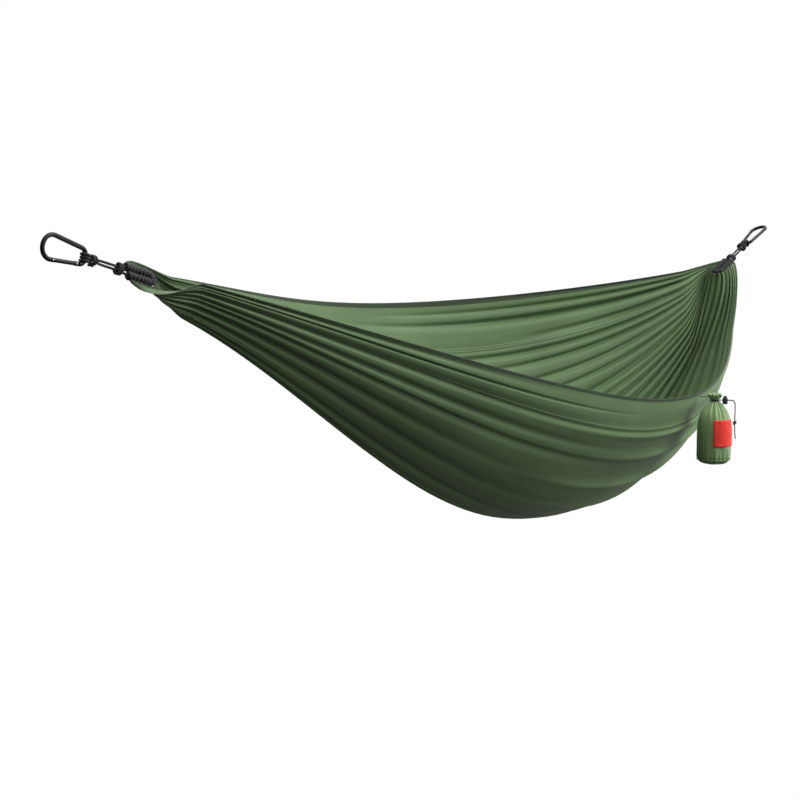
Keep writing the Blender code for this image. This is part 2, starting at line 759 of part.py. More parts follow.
def main():
    """Build every part of the hammock."""
    clear_scene()
    new_collection(NAME)
    cutters = new_collection("cutters")
    make_bed()
    for end in (LEFT, RIGHT):
        make_channel(end)
        make_gather_rope(end)
        make_wrap(f"{end.name}_cinch_wrap", end, CINCH_AT, CINCH_TURNS, 0.3)
        make_wrap(f"{end.name}_hitch_knot", end, rope_reach() - HITCH_BEFORE_BAR, HITCH_TURNS, 1.0)
        make_carabiner(end, cutters)
    make_sack(cutters)
    bpy.context.view_layer.update()


main()
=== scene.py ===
"""The looks of the camping hammock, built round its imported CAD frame.

The frame of reference is the CAD's: the origin is the left hang point, +X runs to the right hang
point, -Y is the near side of the bed and +Z is up. Lengths are in metres.
"""

import math

import bmesh
import bpy
import numpy as np
from mathutils import Matrix, Vector


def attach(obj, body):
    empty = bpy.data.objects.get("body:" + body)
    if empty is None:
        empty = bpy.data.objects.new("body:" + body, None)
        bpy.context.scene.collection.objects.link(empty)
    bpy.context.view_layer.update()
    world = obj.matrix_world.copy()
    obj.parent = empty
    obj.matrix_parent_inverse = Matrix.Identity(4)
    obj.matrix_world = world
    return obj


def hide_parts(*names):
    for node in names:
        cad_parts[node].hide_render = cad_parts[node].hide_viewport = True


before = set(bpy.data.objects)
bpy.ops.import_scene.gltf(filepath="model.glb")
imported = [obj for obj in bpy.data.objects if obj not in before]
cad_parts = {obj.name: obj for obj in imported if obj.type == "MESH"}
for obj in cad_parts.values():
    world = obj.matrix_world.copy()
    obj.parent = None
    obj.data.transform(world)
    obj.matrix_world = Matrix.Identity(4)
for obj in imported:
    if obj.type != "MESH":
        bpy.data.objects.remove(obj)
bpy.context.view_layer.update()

# The camera, the pale sky behind it and the lights: (name, place, target, size, power).
CAMERA_AT = (-2.367, -2.857, 0.088)
CAMERA_YAW = math.radians(39.76)
CAMERA_PITCH = math.radians(6.07)
CAMERA_LENS = 85.2
SOFT_LIGHT_FROM = (0.60, -0.28, 0.75)
SKY_DARK, SKY_BRIGHT = 0.07, 2.3
SKY_LEVELS = ((0.42, 0.15), (0.72, 1.0))
FLOOR_LEVEL = -1.05
STAGE_X = 1.4
BACKDROP_RADIUS = 24.0
LIGHTS = (
    ("key", (3.6, -2.9, 2.2), (1.6, 0.0, -0.3), 1.8, 150.0),
    ("fill", (0.6, 2.6, 1.5), (2.3, -0.1, -0.25), 1.6, 32.0),
    ("top", (1.2, 0.6, 2.6), (1.4, 0.0, -0.3), 2.4, 40.0),
)

MM = 0.001
TAU = 2 * math.pi
Y = np.array((0.0, 1.0, 0.0))
Z = np.array((0.0, 0.0, 1.0))

# The bed, as the CAD builds it: arches of (height, place of the peak, fullness).
GATHER_SPAN = 2.30
SUSPENSION = 0.26
NEAR_SPREAD = (0.250, 0.660, 0.86)
NEAR_SAG = (0.335, 0.705, 0.56)
FAR_SPREAD = (0.300, 0.525, 1.40)
FAR_SAG = (0.100, 0.530, 1.00)
KEEL_SAG = (0.610, 0.635, 0.83)
KEEL_SHIFT = (0.065, 0.5, 1.0)
SECTION_FLATNESS = 1.22
BUNCH_HALF_WIDTH = 0.030
BUNCH_DEPTH = 0.050
BUNCH_RISE = 0.010
FLARE = 2.4
GATHER_BLEND = 0.13
HEM_SHARE = 0.016
STRIP_SHARE = 0.085
SEAM_SHARE = HEM_SHARE + STRIP_SHARE
CLOTH_WIDTH = 1.22
CLOTH_LENGTH = 2.70
LOBE_DROP = 0.024
SHEET_THICKNESS = 0.00044

# The end channels, the ropes and the carabiners.
CHANNEL_RADIUS = 0.0090
CHANNEL_ARM = 0.0105
CHANNEL_MOUTH = -0.045
CHANNEL_BOTTOM = 0.025
END_MARGIN = 0.004
CLOTH_CLEARANCE = 0.0036
ROPE_RADIUS = 0.0030
STRAND_OFFSET = 0.0036
CLOSE_BY = 0.020
FIRST_TWIST, FIRST_TWIST_OVER = 0.004, 0.040
LAST_TWIST, LAST_TWIST_OVER = 0.052, 0.044
SPLAY_FROM, SPLAY_OVER = 0.0110, 0.0090
WRAP_ACROSS = 0.0112
WRAP_THROUGH = 0.0084
WRAP_PITCH = 0.0066
WRAP_TURNS = 1.5
CINCH_AT = 0.0150
HITCH_BEFORE_BAR = 0.0250
BAR_RADIUS = 4.75
LOOP_RADIUS = BAR_RADIUS * MM + ROPE_RADIUS + 0.0005
BAR_TURN = LOOP_RADIUS + 0.0002
RING_CORNERS = ((0, -14, 13), (0, 16, 14), (109, 27, 24), (109, -27, 22))
GATE_RADIUS = 4.4
HINGE_AT = 20.0
NOSE_AT = 80.0
GATE_LENGTH = NOSE_AT - HINGE_AT

# The stuff sack.
SACK_AT = 0.754
SACK_OUT = 0.050
SACK_RISE = 0.004
SACK_RADIUS = 0.045
CORD_RADIUS = 0.0015
NECK_DEPTH = 0.0170
NECK_RING = 0.0128
LOCK_OUT = 0.0268
KNOT_OUT, KNOT_DROP = 0.0524, 0.0600
PIPING_DEPTH = 0.1735
BASE_STITCH_DEPTH = 0.1680
TAIL_HEADING = math.radians(-60)
LABEL_HEADING = math.radians(-109)
LABEL_SIZE = 0.070
LABEL_DEPTH = 0.102


# Camera, light and stage


def make_camera():
    """A long lens from the near left, a little above the bed's ends."""
    data = bpy.data.cameras.new("camera")
    data.lens = CAMERA_LENS
    data.clip_end = 60.0
    camera = bpy.data.objects.new("camera", data)
    bpy.context.scene.collection.objects.link(camera)
    camera.location = CAMERA_AT
    level = math.cos(CAMERA_PITCH)
    ahead = Vector((math.cos(CAMERA_YAW) * level, math.sin(CAMERA_YAW) * level, -math.sin(CAMERA_PITCH)))
    camera.rotation_euler = ahead.to_track_quat("-Z", "Y").to_euler()
    bpy.context.scene.camera = camera


def area_light(name, place, target, size, power):
    """A square soft box that points at a place."""
    data = bpy.data.lights.new(name, "AREA")
    data.size = size
    data.energy = power
    light = bpy.data.objects.new(name, data)
    bpy.context.scene.collection.objects.link(light)
    light.location = place
    light.rotation_euler = (Vector(target) - Vector(place)).to_track_quat("-Z", "Y").to_euler()


def make_studio():
    """A white floor and backdrop, a sky that is brightest on one side, and three soft boxes."""
    scene = bpy.context.scene
    scene.view_settings.view_transform = "Standard"
    world = bpy.data.worlds.new("studio")
    world.use_nodes = True
    scene.world = world
    tree = world.node_tree
    place = tree.nodes.new("ShaderNodeTexCoord")
    facing = tree.nodes.new("ShaderNodeVectorMath")
    facing.operation = "DOT_PRODUCT"
    facing.inputs[1].default_value = SOFT_LIGHT_FROM
    spread = tree.nodes.new("ShaderNodeMapRange")
    spread.inputs["From Min"].default_value = -1.0
    ramp = tree.nodes.new("ShaderNodeValToRGB")
    ramp.color_ramp.elements[0].color = (SKY_DARK, SKY_DARK, SKY_DARK, 1)
    ramp.color_ramp.elements[1].color = (SKY_BRIGHT, SKY_BRIGHT, SKY_BRIGHT, 1)
    for share, level in SKY_LEVELS:
        ramp.color_ramp.elements.new(share).color = (level, level, level, 1)
    tree.links.new(place.outputs["Generated"], facing.inputs[0])
    tree.links.new(facing.outputs["Value"], spread.inputs["Value"])
    tree.links.new(spread.outputs["Result"], ramp.inputs["Fac"])
    tree.links.new(ramp.outputs["Color"], tree.nodes["Background"].inputs["Color"])

    white = principled("backdrop_white", (0.0, 0.0, 0.0), 1.0, specular=0.0)
    shader = white.node_tree.nodes["Principled BSDF"]
    shader.inputs["Emission Color"].default_value = (1.0, 1.0, 1.0, 1.0)
    shader.inputs["Emission Strength"].default_value = 1.0
    bpy.ops.mesh.primitive_plane_add(size=44.0, location=(STAGE_X, 0.0, FLOOR_LEVEL))
    floor = bpy.context.object
    floor.name = "floor"
    bpy.ops.mesh.primitive_uv_sphere_add(segments=48, ring_count=24, radius=BACKDROP_RADIUS,
                                         location=(STAGE_X, 0.0, 0.0))
    backdrop = bpy.context.object
    backdrop.name = "backdrop"
    for piece in (floor, backdrop):
        piece.visible_diffuse = False
        piece.visible_glossy = False
        piece.visible_shadow = False
        piece.data.materials.append(white)
    for light in LIGHTS:
        area_light(*light)


# Materials


def principled(name, colour, roughness, metallic=0.0, sheen=0.0, specular=0.5):
    """A Principled material; the constants sit on the shader's own sockets."""
    made = bpy.data.materials.new(name)
    made.use_nodes = True
    shader = made.node_tree.nodes["Principled BSDF"]
    shader.inputs["Base Color"].default_value = (*colour, 1.0)
    shader.inputs["Roughness"].default_value = roughness
    shader.inputs["Metallic"].default_value = metallic
    shader.inputs["Sheen Weight"].default_value = sheen
    shader.inputs["Specular IOR Level"].default_value = specular
    return made


class Nodes:
    """Short calls for wiring a material's node tree."""

    def __init__(self, made):
        self.tree = made.node_tree
        self.shader = self.tree.nodes["Principled BSDF"]

    def add(self, kind, **settings):
        node = self.tree.nodes.new(kind)
        for key, value in settings.items():
            setattr(node, key, value)
        return node

    def link(self, source, target):
        self.tree.links.new(source, target)

    def math(self, operation, first, second=None):
        node = self.add("ShaderNodeMath", operation=operation)
        for socket, value in zip(node.inputs, (first, second)):
            if value is None:
                continue
            if isinstance(value, (int, float)):
                socket.default_value = value
            else:
                self.link(value, socket)
        return node.outputs[0]

    def vector(self, attribute=None, scale=(1.0, 1.0, 1.0)):
        """The cut coordinates of a piece, or its place in the frame, scaled."""
        if attribute:
            source = self.add("ShaderNodeAttribute", attribute_name=attribute).outputs["Vector"]
        else:
            source = self.add("ShaderNodeTexCoord").outputs["Object"]
        node = self.add("ShaderNodeVectorMath", operation="MULTIPLY")
        node.inputs[1].default_value = scale
        self.link(source, node.inputs[0])
        return node.outputs[0]

    def noise(self, vector, scale, detail=3.0):
        node = self.add("ShaderNodeTexNoise")
        node.inputs["Scale"].default_value = scale
        node.inputs["Detail"].default_value = detail
        self.link(vector, node.inputs["Vector"])
        return node.outputs["Fac"]

    def tint(self, factor, low, high, span=(0.3, 0.7)):
        """A colour between two, driven by a factor."""
        node = self.add("ShaderNodeValToRGB")
        node.color_ramp.elements[0].position, node.color_ramp.elements[1].position = span
        node.color_ramp.elements[0].color = (*low, 1.0)
        node.color_ramp.elements[1].color = (*high, 1.0)
        self.link(factor, node.inputs["Fac"])
        return node.outputs["Color"]

    def multiply(self, first, second, share=1.0):
        node = self.add("ShaderNodeMix", data_type="RGBA", blend_type="MULTIPLY")
        node.inputs["Factor"].default_value = share
        self.link(first, node.inputs["A"])
        self.link(second, node.inputs["B"])
        return node.outputs["Result"]

    def colour(self, socket):
        self.link(socket, self.shader.inputs["Base Color"])

    def roughness(self, factor, low, high):
        node = self.add("ShaderNodeMapRange")
        node.inputs["To Min"].default_value = low
        node.inputs["To Max"].default_value = high
        self.link(factor, node.inputs["Value"])
        self.link(node.outputs["Result"], self.shader.inputs["Roughness"])

    def bump(self, height, distance, strength=1.0):
        node = self.add("ShaderNodeBump")
        node.inputs["Strength"].default_value = strength
        node.inputs["Distance"].default_value = distance
        self.link(height, node.inputs["Height"])
        self.link(node.outputs["Normal"], self.shader.inputs["Normal"])


def shade(colour, factor):
    return tuple(channel * factor for channel in colour)


def woven(name, colour, pitch, roughness=0.62, sheen=0.07, relief=0.00006, fold_dark=0.80):
    """Woven cloth: yarns both ways, thick and thin yarns, faint mottling, and painted shade that darkens the
    valleys of its folds.
    """
    made = principled(name, colour, roughness, sheen=sheen, specular=0.22)
    made.node_tree.nodes["Principled BSDF"].inputs["Sheen Roughness"].default_value = 0.4
    n = Nodes(made)
    yarns = n.add("ShaderNodeSeparateXYZ")
    n.link(n.vector("cut", (TAU / pitch, TAU / pitch, 1.0)), yarns.inputs[0])
    across = n.math("SINE", yarns.outputs["X"])
    along = n.math("SINE", yarns.outputs["Y"])
    weave = n.math("MULTIPLY", across, along)
    slub = n.noise(n.vector("cut", (260.0, 7.0, 1.0)), 1.0, 2.0)
    mottle = n.noise(n.vector(), 5.0, 4.0)
    fold = n.add("ShaderNodeAttribute", attribute_name="fold").outputs["Fac"]
    body = n.tint(mottle, shade(colour, 0.90), shade(colour, 1.10))
    body = n.multiply(body, n.tint(slub, (0.93,) * 3, (1.0,) * 3))
    # Painted shade: the colour is darkened towards fold_dark where the fold shade value is low, in fold
    # valleys and creases.
    body = n.multiply(body, n.tint(fold, (fold_dark,) * 3, (1.0,) * 3, (0.1, 0.95)))
    n.colour(body)
    n.roughness(mottle, roughness - 0.06, roughness + 0.06)
    n.bump(n.math("ADD", weave, n.math("MULTIPLY", slub, 2.0)), relief, 0.6)
    return made


def fibrous(name, colour, roughness=0.7):
    """Braided or knitted yarn, as of a rope, a cord or a sewing thread."""
    made = principled(name, colour, roughness, sheen=0.15, specular=0.3)
    n = Nodes(made)
    fibre = n.noise(n.vector(), 1400.0, 2.0)
    patch = n.noise(n.vector(), 60.0, 2.0)
    body = n.tint(fibre, shade(colour, 0.7), shade(colour, 1.35))
    n.colour(n.multiply(body, n.tint(patch, (0.85,) * 3, (1.0,) * 3)))
    n.roughness(patch, roughness - 0.08, roughness + 0.1)
    n.bump(fibre, 0.0002, 0.7)
    return made


def metal(name, colour, roughness, metallic, worn):
    """Anodised or bare metal: fine blasting, faint scratches along the bar, and rubbed patches."""
    made = principled(name, colour, roughness, metallic)
    n = Nodes(made)
    grain = n.noise(n.vector(), 2600.0, 2.0)
    scratch = n.noise(n.vector(scale=(60.0, 900.0, 900.0)), 1.0, 3.0)
    rub = n.noise(n.vector(), 70.0, 3.0)
    n.colour(n.tint(n.math("MULTIPLY", scratch, rub), colour, worn, (0.30, 0.62)))
    n.roughness(n.math("ADD", n.math("MULTIPLY", rub, 0.7), n.math("MULTIPLY", scratch, 0.3)),
                roughness - 0.08, roughness + 0.16)
    n.bump(grain, 0.00004, 0.5)
    return made


def moulded(name, colour):
    """Injection-moulded plastic with a fine spark texture."""
    made = principled(name, colour, 0.42, specular=0.5)
    n = Nodes(made)
    grain = n.noise(n.vector(), 1800.0, 3.0)
    scuff = n.noise(n.vector(), 220.0, 3.0)
    n.colour(n.tint(scuff, colour, shade(colour, 1.7), (0.45, 0.75)))
    n.roughness(scuff, 0.34, 0.55)
    n.bump(grain, 0.00006, 0.5)
    return made


NYLON = (0.112, 0.184, 0.078)
MATERIALS = {
    # fold_dark is the painted shade each cloth takes in its fold valleys and creases.
    "nylon": woven("nylon", NYLON, 0.0008, fold_dark=0.56),
    "hem": woven("hem", (0.024, 0.040, 0.019), 0.0008, roughness=0.68),
    # The sack's colour is partly its own green and partly painted light: raised well above the bed's nylon
    # to stand in for the fill light that its shaded side lacks.
    "sack": woven("sack", (0.215, 0.330, 0.148), 0.0008),
    "sleeve": woven("sleeve", (0.007, 0.007, 0.008), 0.0016, 0.6, sheen=0.12, relief=0.00018, fold_dark=0.6),
    "label": woven("label", (0.72, 0.034, 0.022), 0.0009, 0.6, sheen=0.1, relief=0.0001),
    "piping": woven("piping", (0.165, 0.240, 0.105), 0.0010, roughness=0.6),
    "rope": fibrous("rope", (0.015, 0.015, 0.016)),
    "thread": fibrous("thread", (0.075, 0.120, 0.056), 0.55),
    "red_thread": fibrous("red_thread", (0.80, 0.075, 0.050), 0.5),
    "black_thread": fibrous("black_thread", (0.045, 0.045, 0.048), 0.5),
    "anodised": metal("anodised", (0.018, 0.018, 0.020), 0.33, 0.85, (0.050, 0.050, 0.052)),
    "steel": metal("steel", (0.46, 0.46, 0.45), 0.34, 1.0, (0.62, 0.62, 0.61)),
    "plastic": moulded("plastic", (0.014, 0.014, 0.015)),
}


# Meshes


def finish_mesh(name, mesh, material, body, replaces=()):
    """Link a mesh as a piece: its material, the body it rides on and the CAD nodes it stands for."""
    obj = bpy.data.objects.new(name, mesh)
    bpy.context.scene.collection.objects.link(obj)
    mesh.materials.clear()
    mesh.materials.append(MATERIALS[material])
    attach(obj, body)
    if replaces:
        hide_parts(*replaces)
    return obj


def raw_mesh(name, points, faces, cut=None, fold=None):
    """A smooth mesh from a grid of points, with its cut coordinates and painted fold shade (0 darkest, 1
    unshaded).
    """
    mesh = bpy.data.meshes.new(name)
    points = points.reshape(-1, 3)
    mesh.from_pydata(points.tolist(), [], [tuple(dict.fromkeys(face)) for face in faces])
    cut = np.float32(points if cut is None else cut)
    fold = np.ones(len(points), np.float32) if fold is None else np.float32(fold)
    mesh.attributes.new("cut", "FLOAT_VECTOR", "POINT").data.foreach_set("vector", cut.ravel())
    mesh.attributes.new("fold", "FLOAT", "POINT").data.foreach_set("value", fold.ravel())
    mesh.polygons.foreach_set("use_smooth", [True] * len(mesh.polygons))
    mesh.update()
    return mesh


def merged(name, meshes):
    """One smooth mesh from several."""
    shape = bmesh.new()
    for mesh in meshes:
        shape.from_mesh(mesh)
    made = bpy.data.meshes.new(name)
    shape.to_mesh(made)
    shape.free()
    made.polygons.foreach_set("use_smooth", [True] * len(made.polygons))
    return made


def grid_faces(rows, columns, wrap_rows=False, wrap_columns=False, start=0):
    """The quads of a grid of points, closed on itself either way if asked."""
    r = np.arange(rows if wrap_rows else rows - 1)[:, None]
    c = np.arange(columns if wrap_columns else columns - 1)[None, :]
    r2, c2 = (r + 1) % rows, (c + 1) % columns
    quads = np.stack([r * columns + c, r * columns + c2, r2 * columns + c2, r2 * columns + c], -1)
    return quads.reshape(-1, 4) + start


def capped_faces(rows, sides):
    """The faces of a row of rings, with a flat cap at each end."""
    faces = grid_faces(rows, sides, wrap_columns=True).tolist()
    return faces + [range(sides)[::-1], range((rows - 1) * sides, rows * sides)]


def sheet_mesh(name, outer, inner, cut, fold):
    """A closed thin sheet between two grids of points, its four edges joined."""
    rows, columns = outer.shape[:2]
    count = rows * columns
    index = np.arange(count).reshape(rows, columns)
    border = np.concatenate([index[0, :-1], index[:-1, -1], index[-1, :0:-1], index[:0:-1, 0]])
    after = np.roll(border, -1)
    rim = np.stack([border, border + count, after + count, after], -1)
    under = grid_faces(rows, columns, start=count)[:, ::-1]
    faces = np.concatenate([grid_faces(rows, columns), under, rim]).tolist()
    return raw_mesh(name, np.stack([outer, inner]), faces, np.stack([cut, cut]), np.stack([fold, fold]))


def frames_along(path, closed=False):
    """Unit tangents and two unit normals along a path, turned as little as possible from step to step."""
    if closed:
        tangent = np.roll(path, -1, 0) - np.roll(path, 1, 0)
    else:
        tangent = np.gradient(path, axis=0)
    tangent /= np.linalg.norm(tangent, axis=1)[:, None]
    side = np.zeros_like(path)
    guess = np.cross(tangent[0], Z if abs(tangent[0][2]) < 0.9 else Y)
    for step, ahead in enumerate(tangent):
        guess = guess - ahead * (guess @ ahead)
        guess = guess / np.linalg.norm(guess)
        side[step] = guess
    if closed:
        last = side[-1] - tangent[0] * (side[-1] @ tangent[0])
        last /= np.linalg.norm(last)
        slip = math.atan2(np.cross(last, side[0]) @ tangent[0], last @ side[0])
        turn = slip * np.arange(len(path)) / len(path)
        other = np.cross(tangent, side)
        side = side * np.cos(turn)[:, None] + other * np.sin(turn)[:, None]
    return tangent, side, np.cross(tangent, side)


def length_along(path):
    return np.concatenate([[0.0], np.cumsum(np.linalg.norm(np.diff(path, axis=0), axis=1))])


def resample(path, step, closed=False):
    """A smooth curve through points, sampled evenly."""
    points = np.asarray(path, float)
    if closed:
        points = np.concatenate([points, points[:1]])
        ends = np.array([points[-2], *points, points[1]])
    else:
        ends = np.array([2 * points[0] - points[1], *points, 2 * points[-1] - points[-2]])
    fine = []
    s = np.linspace(0.0, 1.0, 12, endpoint=False)[:, None]
    for a, b, c, d in zip(ends, ends[1:], ends[2:], ends[3:]):
        bend, turn = 2 * a - 5 * b + 4 * c - d, 3 * b - a - 3 * c + d
        fine.append(0.5 * (2 * b + (c - a) * s + bend * s**2 + turn * s**3))
    fine = np.concatenate([*fine, points[-1:]])
    along = length_along(fine)
    count = max(3, int(round(along[-1] / step)) + 1)
    at = np.linspace(0.0, along[-1], count)
    out = np.stack([np.interp(at, along, fine[:, k]) for k in range(3)], -1)
    return out[:-1] if closed else out


def circle(sides):
    angle = TAU * np.arange(sides) / sides
    return np.stack([np.cos(angle), np.sin(angle)], -1)


def tube_parts(path, radius, sides, closed=False):
    """(points, faces) of a round tube, its ends closed by a point each. The radius may vary."""
    radius = np.broadcast_to(radius, len(path)).astype(float)
    tangent, side, up = frames_along(path, closed)
    ring = circle(sides)[None] * radius[:, None, None]
    rings = path[:, None] + side[:, None] * ring[..., :1] + up[:, None] * ring[..., 1:]
    points = rings.reshape(-1, 3)
    faces = grid_faces(len(path), sides, wrap_rows=closed, wrap_columns=True)
    if closed:
        return points, faces
    tips = np.stack([path[0] - tangent[0] * radius[0] * 0.5, path[-1] + tangent[-1] * radius[-1] * 0.5])
    first, last = np.full(sides, len(points)), np.full(sides, len(points) + 1)
    ring = np.arange(sides)
    after = (ring + 1) % sides
    top = len(points) - sides
    low = np.stack([ring, first, first, after], -1)
    high = np.stack([after + top, last, last, ring + top], -1)
    return np.concatenate([points, tips]), np.concatenate([faces, low, high])


def join_parts(name, parts):
    """One mesh from several (points, faces), whose faces count from 0 in each."""
    points, faces, count = [], [], 0
    for some, quads in parts:
        points.append(some)
        faces.append(quads + count)
        count += len(some)
    return raw_mesh(name, np.concatenate(points), np.concatenate(faces).tolist())


def braid(name, path, radius, closed=False):
    """Braided cord along a path: four strands each way, over and under, round a core."""
    step, lay = radius * 0.42, radius * 4.6
    path = resample(path, step, closed)
    side, up = frames_along(path, closed)[1:]
    turns = (len(path) - 1) * step / lay
    if closed:
        turns = round(turns)
    phase = TAU * turns * np.arange(len(path)) / (len(path) if closed else len(path) - 1)
    parts = [tube_parts(path, radius * 0.62, 8, closed)]
    for hand in (1.0, -1.0):
        for strand_index in range(4):
            theta = hand * phase + TAU * strand_index / 4
            out = radius * (0.68 + 0.085 * hand * np.cos(4 * phase))
            line = path + side * (np.cos(theta) * out)[:, None] + up * (np.sin(theta) * out)[:, None]
            parts.append(tube_parts(line, radius * 0.27, 6, closed))
    return join_parts(name, parts), path


def lathe(name, profile, centre, axis=(0, 0, 1), sides=40):
    """A solid of revolution from (radius, height) pairs, on the axis at both ends."""
    axis = np.array(axis, float) / np.linalg.norm(axis)
    first = np.cross(axis, Y if abs(axis[1]) < 0.9 else Z)
    first /= np.linalg.norm(first)
    second = np.cross(axis, first)
    ring = circle(sides)
    rows = [np.array(centre) + axis * height + radius * (first * ring[:, :1] + second * ring[:, 1:])
            for radius, height in profile]
    faces = grid_faces(len(profile), sides, wrap_columns=True)
    return weld(join_parts(name, [(np.concatenate(rows), faces)]))


def weld(mesh, distance=1e-6):
    shape = bmesh.new()
    shape.from_mesh(mesh)
    bmesh.ops.remove_doubles(shape, verts=shape.verts, dist=distance)
    bmesh.ops.recalc_face_normals(shape, faces=shape.faces)
    shape.to_mesh(mesh)
    shape.free()
    return mesh


def cut_boxes(mesh, boxes):
    """Take boxes, given as (matrix, size), out of a mesh."""
    obj = bpy.data.objects.new("blank", mesh)
    bpy.context.scene.collection.objects.link(obj)
    cutters = []
    for count, (matrix, size) in enumerate(boxes):
        blank = bpy.data.meshes.new("cutter")
        shape = bmesh.new()
        bmesh.ops.create_cube(shape, size=1.0, matrix=matrix @ Matrix.Diagonal((*size, 1.0)))
        shape.to_mesh(blank)
        shape.free()
        cutter = bpy.data.objects.new(f"cutter_{count}", blank)
        bpy.context.scene.collection.objects.link(cutter)
        cutters.append(cutter)
        knife = obj.modifiers.new("cut", "BOOLEAN")
        knife.operation = "DIFFERENCE"
        knife.solver = "EXACT"
        knife.object = cutter
    graph = bpy.context.evaluated_depsgraph_get()
    made = bpy.data.meshes.new_from_object(obj.evaluated_get(graph))
    for spare in (obj, *cutters):
        bpy.data.objects.remove(spare, do_unlink=True)
    return made


def crisp(mesh, angle=35.0):
    """Smooth shading that stays sharp at real edges."""
    mesh.polygons.foreach_set("use_smooth", [True] * len(mesh.polygons))
    mesh.set_sharp_from_angle(angle=math.radians(angle))
    return mesh


def stitches(name, points, normals, pitch, length, thick=0.00045, rise=0.0004):
    """A row of stitches: short domed threads along a line, standing a little off the cloth."""
    along = length_along(points)
    count = max(2, int(along[-1] / pitch))
    at = (np.arange(count) + 0.5) * along[-1] / count
    centre = np.stack([np.interp(at, along, points[:, k]) for k in range(3)], -1)
    normal = np.stack([np.interp(at, along, normals[:, k]) for k in range(3)], -1)
    normal /= np.linalg.norm(normal, axis=1)[:, None]
    ahead = np.gradient(centre, axis=0)
    ahead /= np.linalg.norm(ahead, axis=1)[:, None]
    side = np.cross(normal, ahead)
    u = np.array((-1.0, -0.75, 0.0, 0.75, 1.0))
    fat = np.array((0.25, 0.8, 1.0, 0.8, 0.25)) * thick
    lift = rise * (1 - u**2) - 0.0002
    ring = circle(5)
    rings = (
        centre[:, None, None] + ahead[:, None, None] * (u * length / 2)[None, :, None, None]
        + normal[:, None, None] * (lift[:, None] + fat[:, None] * ring[None, :, 1])[None, :, :, None]
        + side[:, None, None] * (fat[:, None] * ring[None, :, 0])[None, :, :, None]
    )
    one = grid_faces(5, 5, wrap_columns=True)
    caps = np.array([(0, 4, 3, 2), (0, 2, 1, 1), (20, 21, 22, 23), (20, 23, 24, 24)])
    one = np.concatenate([one, caps])
    faces = (one[None] + (np.arange(count) * 25)[:, None, None]).reshape(-1, 4)
    return join_parts(name, [(rings.reshape(-1, 3), faces)])


# The shape of the bed


def smooth(x):
    x = np.clip(x, 0.0, 1.0)
    return x * x * (3.0 - 2.0 * x)


def arch(t, shape):
    """An arch over the span, from its height, the place of its peak and its fullness."""
    height, peak, fullness = shape
    return height * np.maximum(0.0, np.sin(np.pi * t ** (math.log(0.5) / math.log(peak)))) ** fullness


def spots(*parts):
    return np.stack(np.broadcast_arrays(*parts), -1)


class End:
    """One gathered end: where it is, the slope of its rope, and the turns in degrees of its sleeve
    (roll), of its strands (twist) and of its carabiner (turn) about the rope."""

    def __init__(self, name, sign, slope, roll, twist, turn, hang):
        self.name = name
        self.along = np.array((sign * math.cos(slope), 0.0, math.sin(slope)))
        self.up = np.array((-sign * math.sin(slope), 0.0, math.cos(slope)))
        self.hang = np.array(hang, float)
        self.roll = math.radians(roll)
        self.twist = math.radians(twist)
        self.turn = math.radians(turn)
        self.gather = self.hang - self.along * SUSPENSION

    def offset(self, angle):
        """The unit vector across the rope, turned from +Y towards the end's up direction."""
        angle = np.asarray(angle)[..., None]
        return np.cos(angle) * Y + np.sin(angle) * self.up

    def at(self, inward, across, angle):
        """A point from how far it lies inward of the gather, and across it."""
        inward, across = np.asarray(inward)[..., None], np.asarray(across)[..., None]
        return self.gather - self.along * inward + self.offset(angle) * across


LEFT_SLOPE, RIGHT_SLOPE = math.radians(15.3), math.radians(26.7)
LEFT = End("left", -1.0, LEFT_SLOPE, roll=55.0, twist=95.0, turn=0.0, hang=(0.0, 0.0, 0.0))
RIGHT_HANG = LEFT.gather[0] + GATHER_SPAN + SUSPENSION * math.cos(RIGHT_SLOPE)
RIGHT = End("right", 1.0, RIGHT_SLOPE, roll=0.0, twist=40.0, turn=80.0, hang=(RIGHT_HANG, 0.0, 0.0))


def hairpin(share, half_width, mouth, bottom):
    """(inward, across) on a U: straight arms from the mouth, then a half circle."""
    arm = bottom - half_width - mouth
    bend = np.pi * half_width
    run = share * (2 * arm + bend)
    angle = np.clip((run - arm) / half_width, 0.0, np.pi)
    inward = np.where(run < arm, mouth + run, np.where(
        run > arm + bend, mouth + 2 * arm + bend - run, mouth + arm + half_width * np.sin(angle)))
    return inward, half_width * np.cos(angle)


def bed(t, share):
    """The smooth cloth: gathered round the channels at both ends, and an open trough between."""
    t, share = np.broadcast_arrays(np.asarray(t, float), np.asarray(share, float))
    base = LEFT.gather + (RIGHT.gather - LEFT.gather) * t[..., None]
    keel_y = arch(t, KEEL_SHIFT)
    keel_z = base[..., 2] - BUNCH_DEPTH - arch(t, KEEL_SAG)
    far = share <= 0.5
    rim_y = np.where(far, BUNCH_HALF_WIDTH + arch(t, FAR_SPREAD), -BUNCH_HALF_WIDTH - arch(t, NEAR_SPREAD))
    rim_z = base[..., 2] + BUNCH_RISE - np.where(far, arch(t, FAR_SAG), arch(t, NEAR_SAG))
    angle = np.pi * np.clip(share, 0.0, 1.0)
    out = np.abs(np.cos(angle)) ** SECTION_FLATNESS
    down = np.maximum(np.sin(angle), 0.0) ** SECTION_FLATNESS
    point = spots(base[..., 0], keel_y + (rim_y - keel_y) * out, rim_z + (keel_z - rim_z) * down)
    for end, run in ((LEFT, t * GATHER_SPAN), (RIGHT, (1.0 - t) * GATHER_SPAN)):
        held = 1.0 - smooth(run / GATHER_BLEND)
        lip = 0.0012 + (CLOTH_CLEARANCE - 0.0012) * smooth(run / 0.014)
        reach = CHANNEL_RADIUS + lip
        inward, across = hairpin(share, CHANNEL_ARM + reach, CHANNEL_MOUTH + END_MARGIN,
                                 CHANNEL_BOTTOM + reach)
        bunch = end.at(inward, across * (1.0 + FLARE * (1.0 - held)), end.roll)
        point = point + (bunch - point) * held[..., None]
    return point


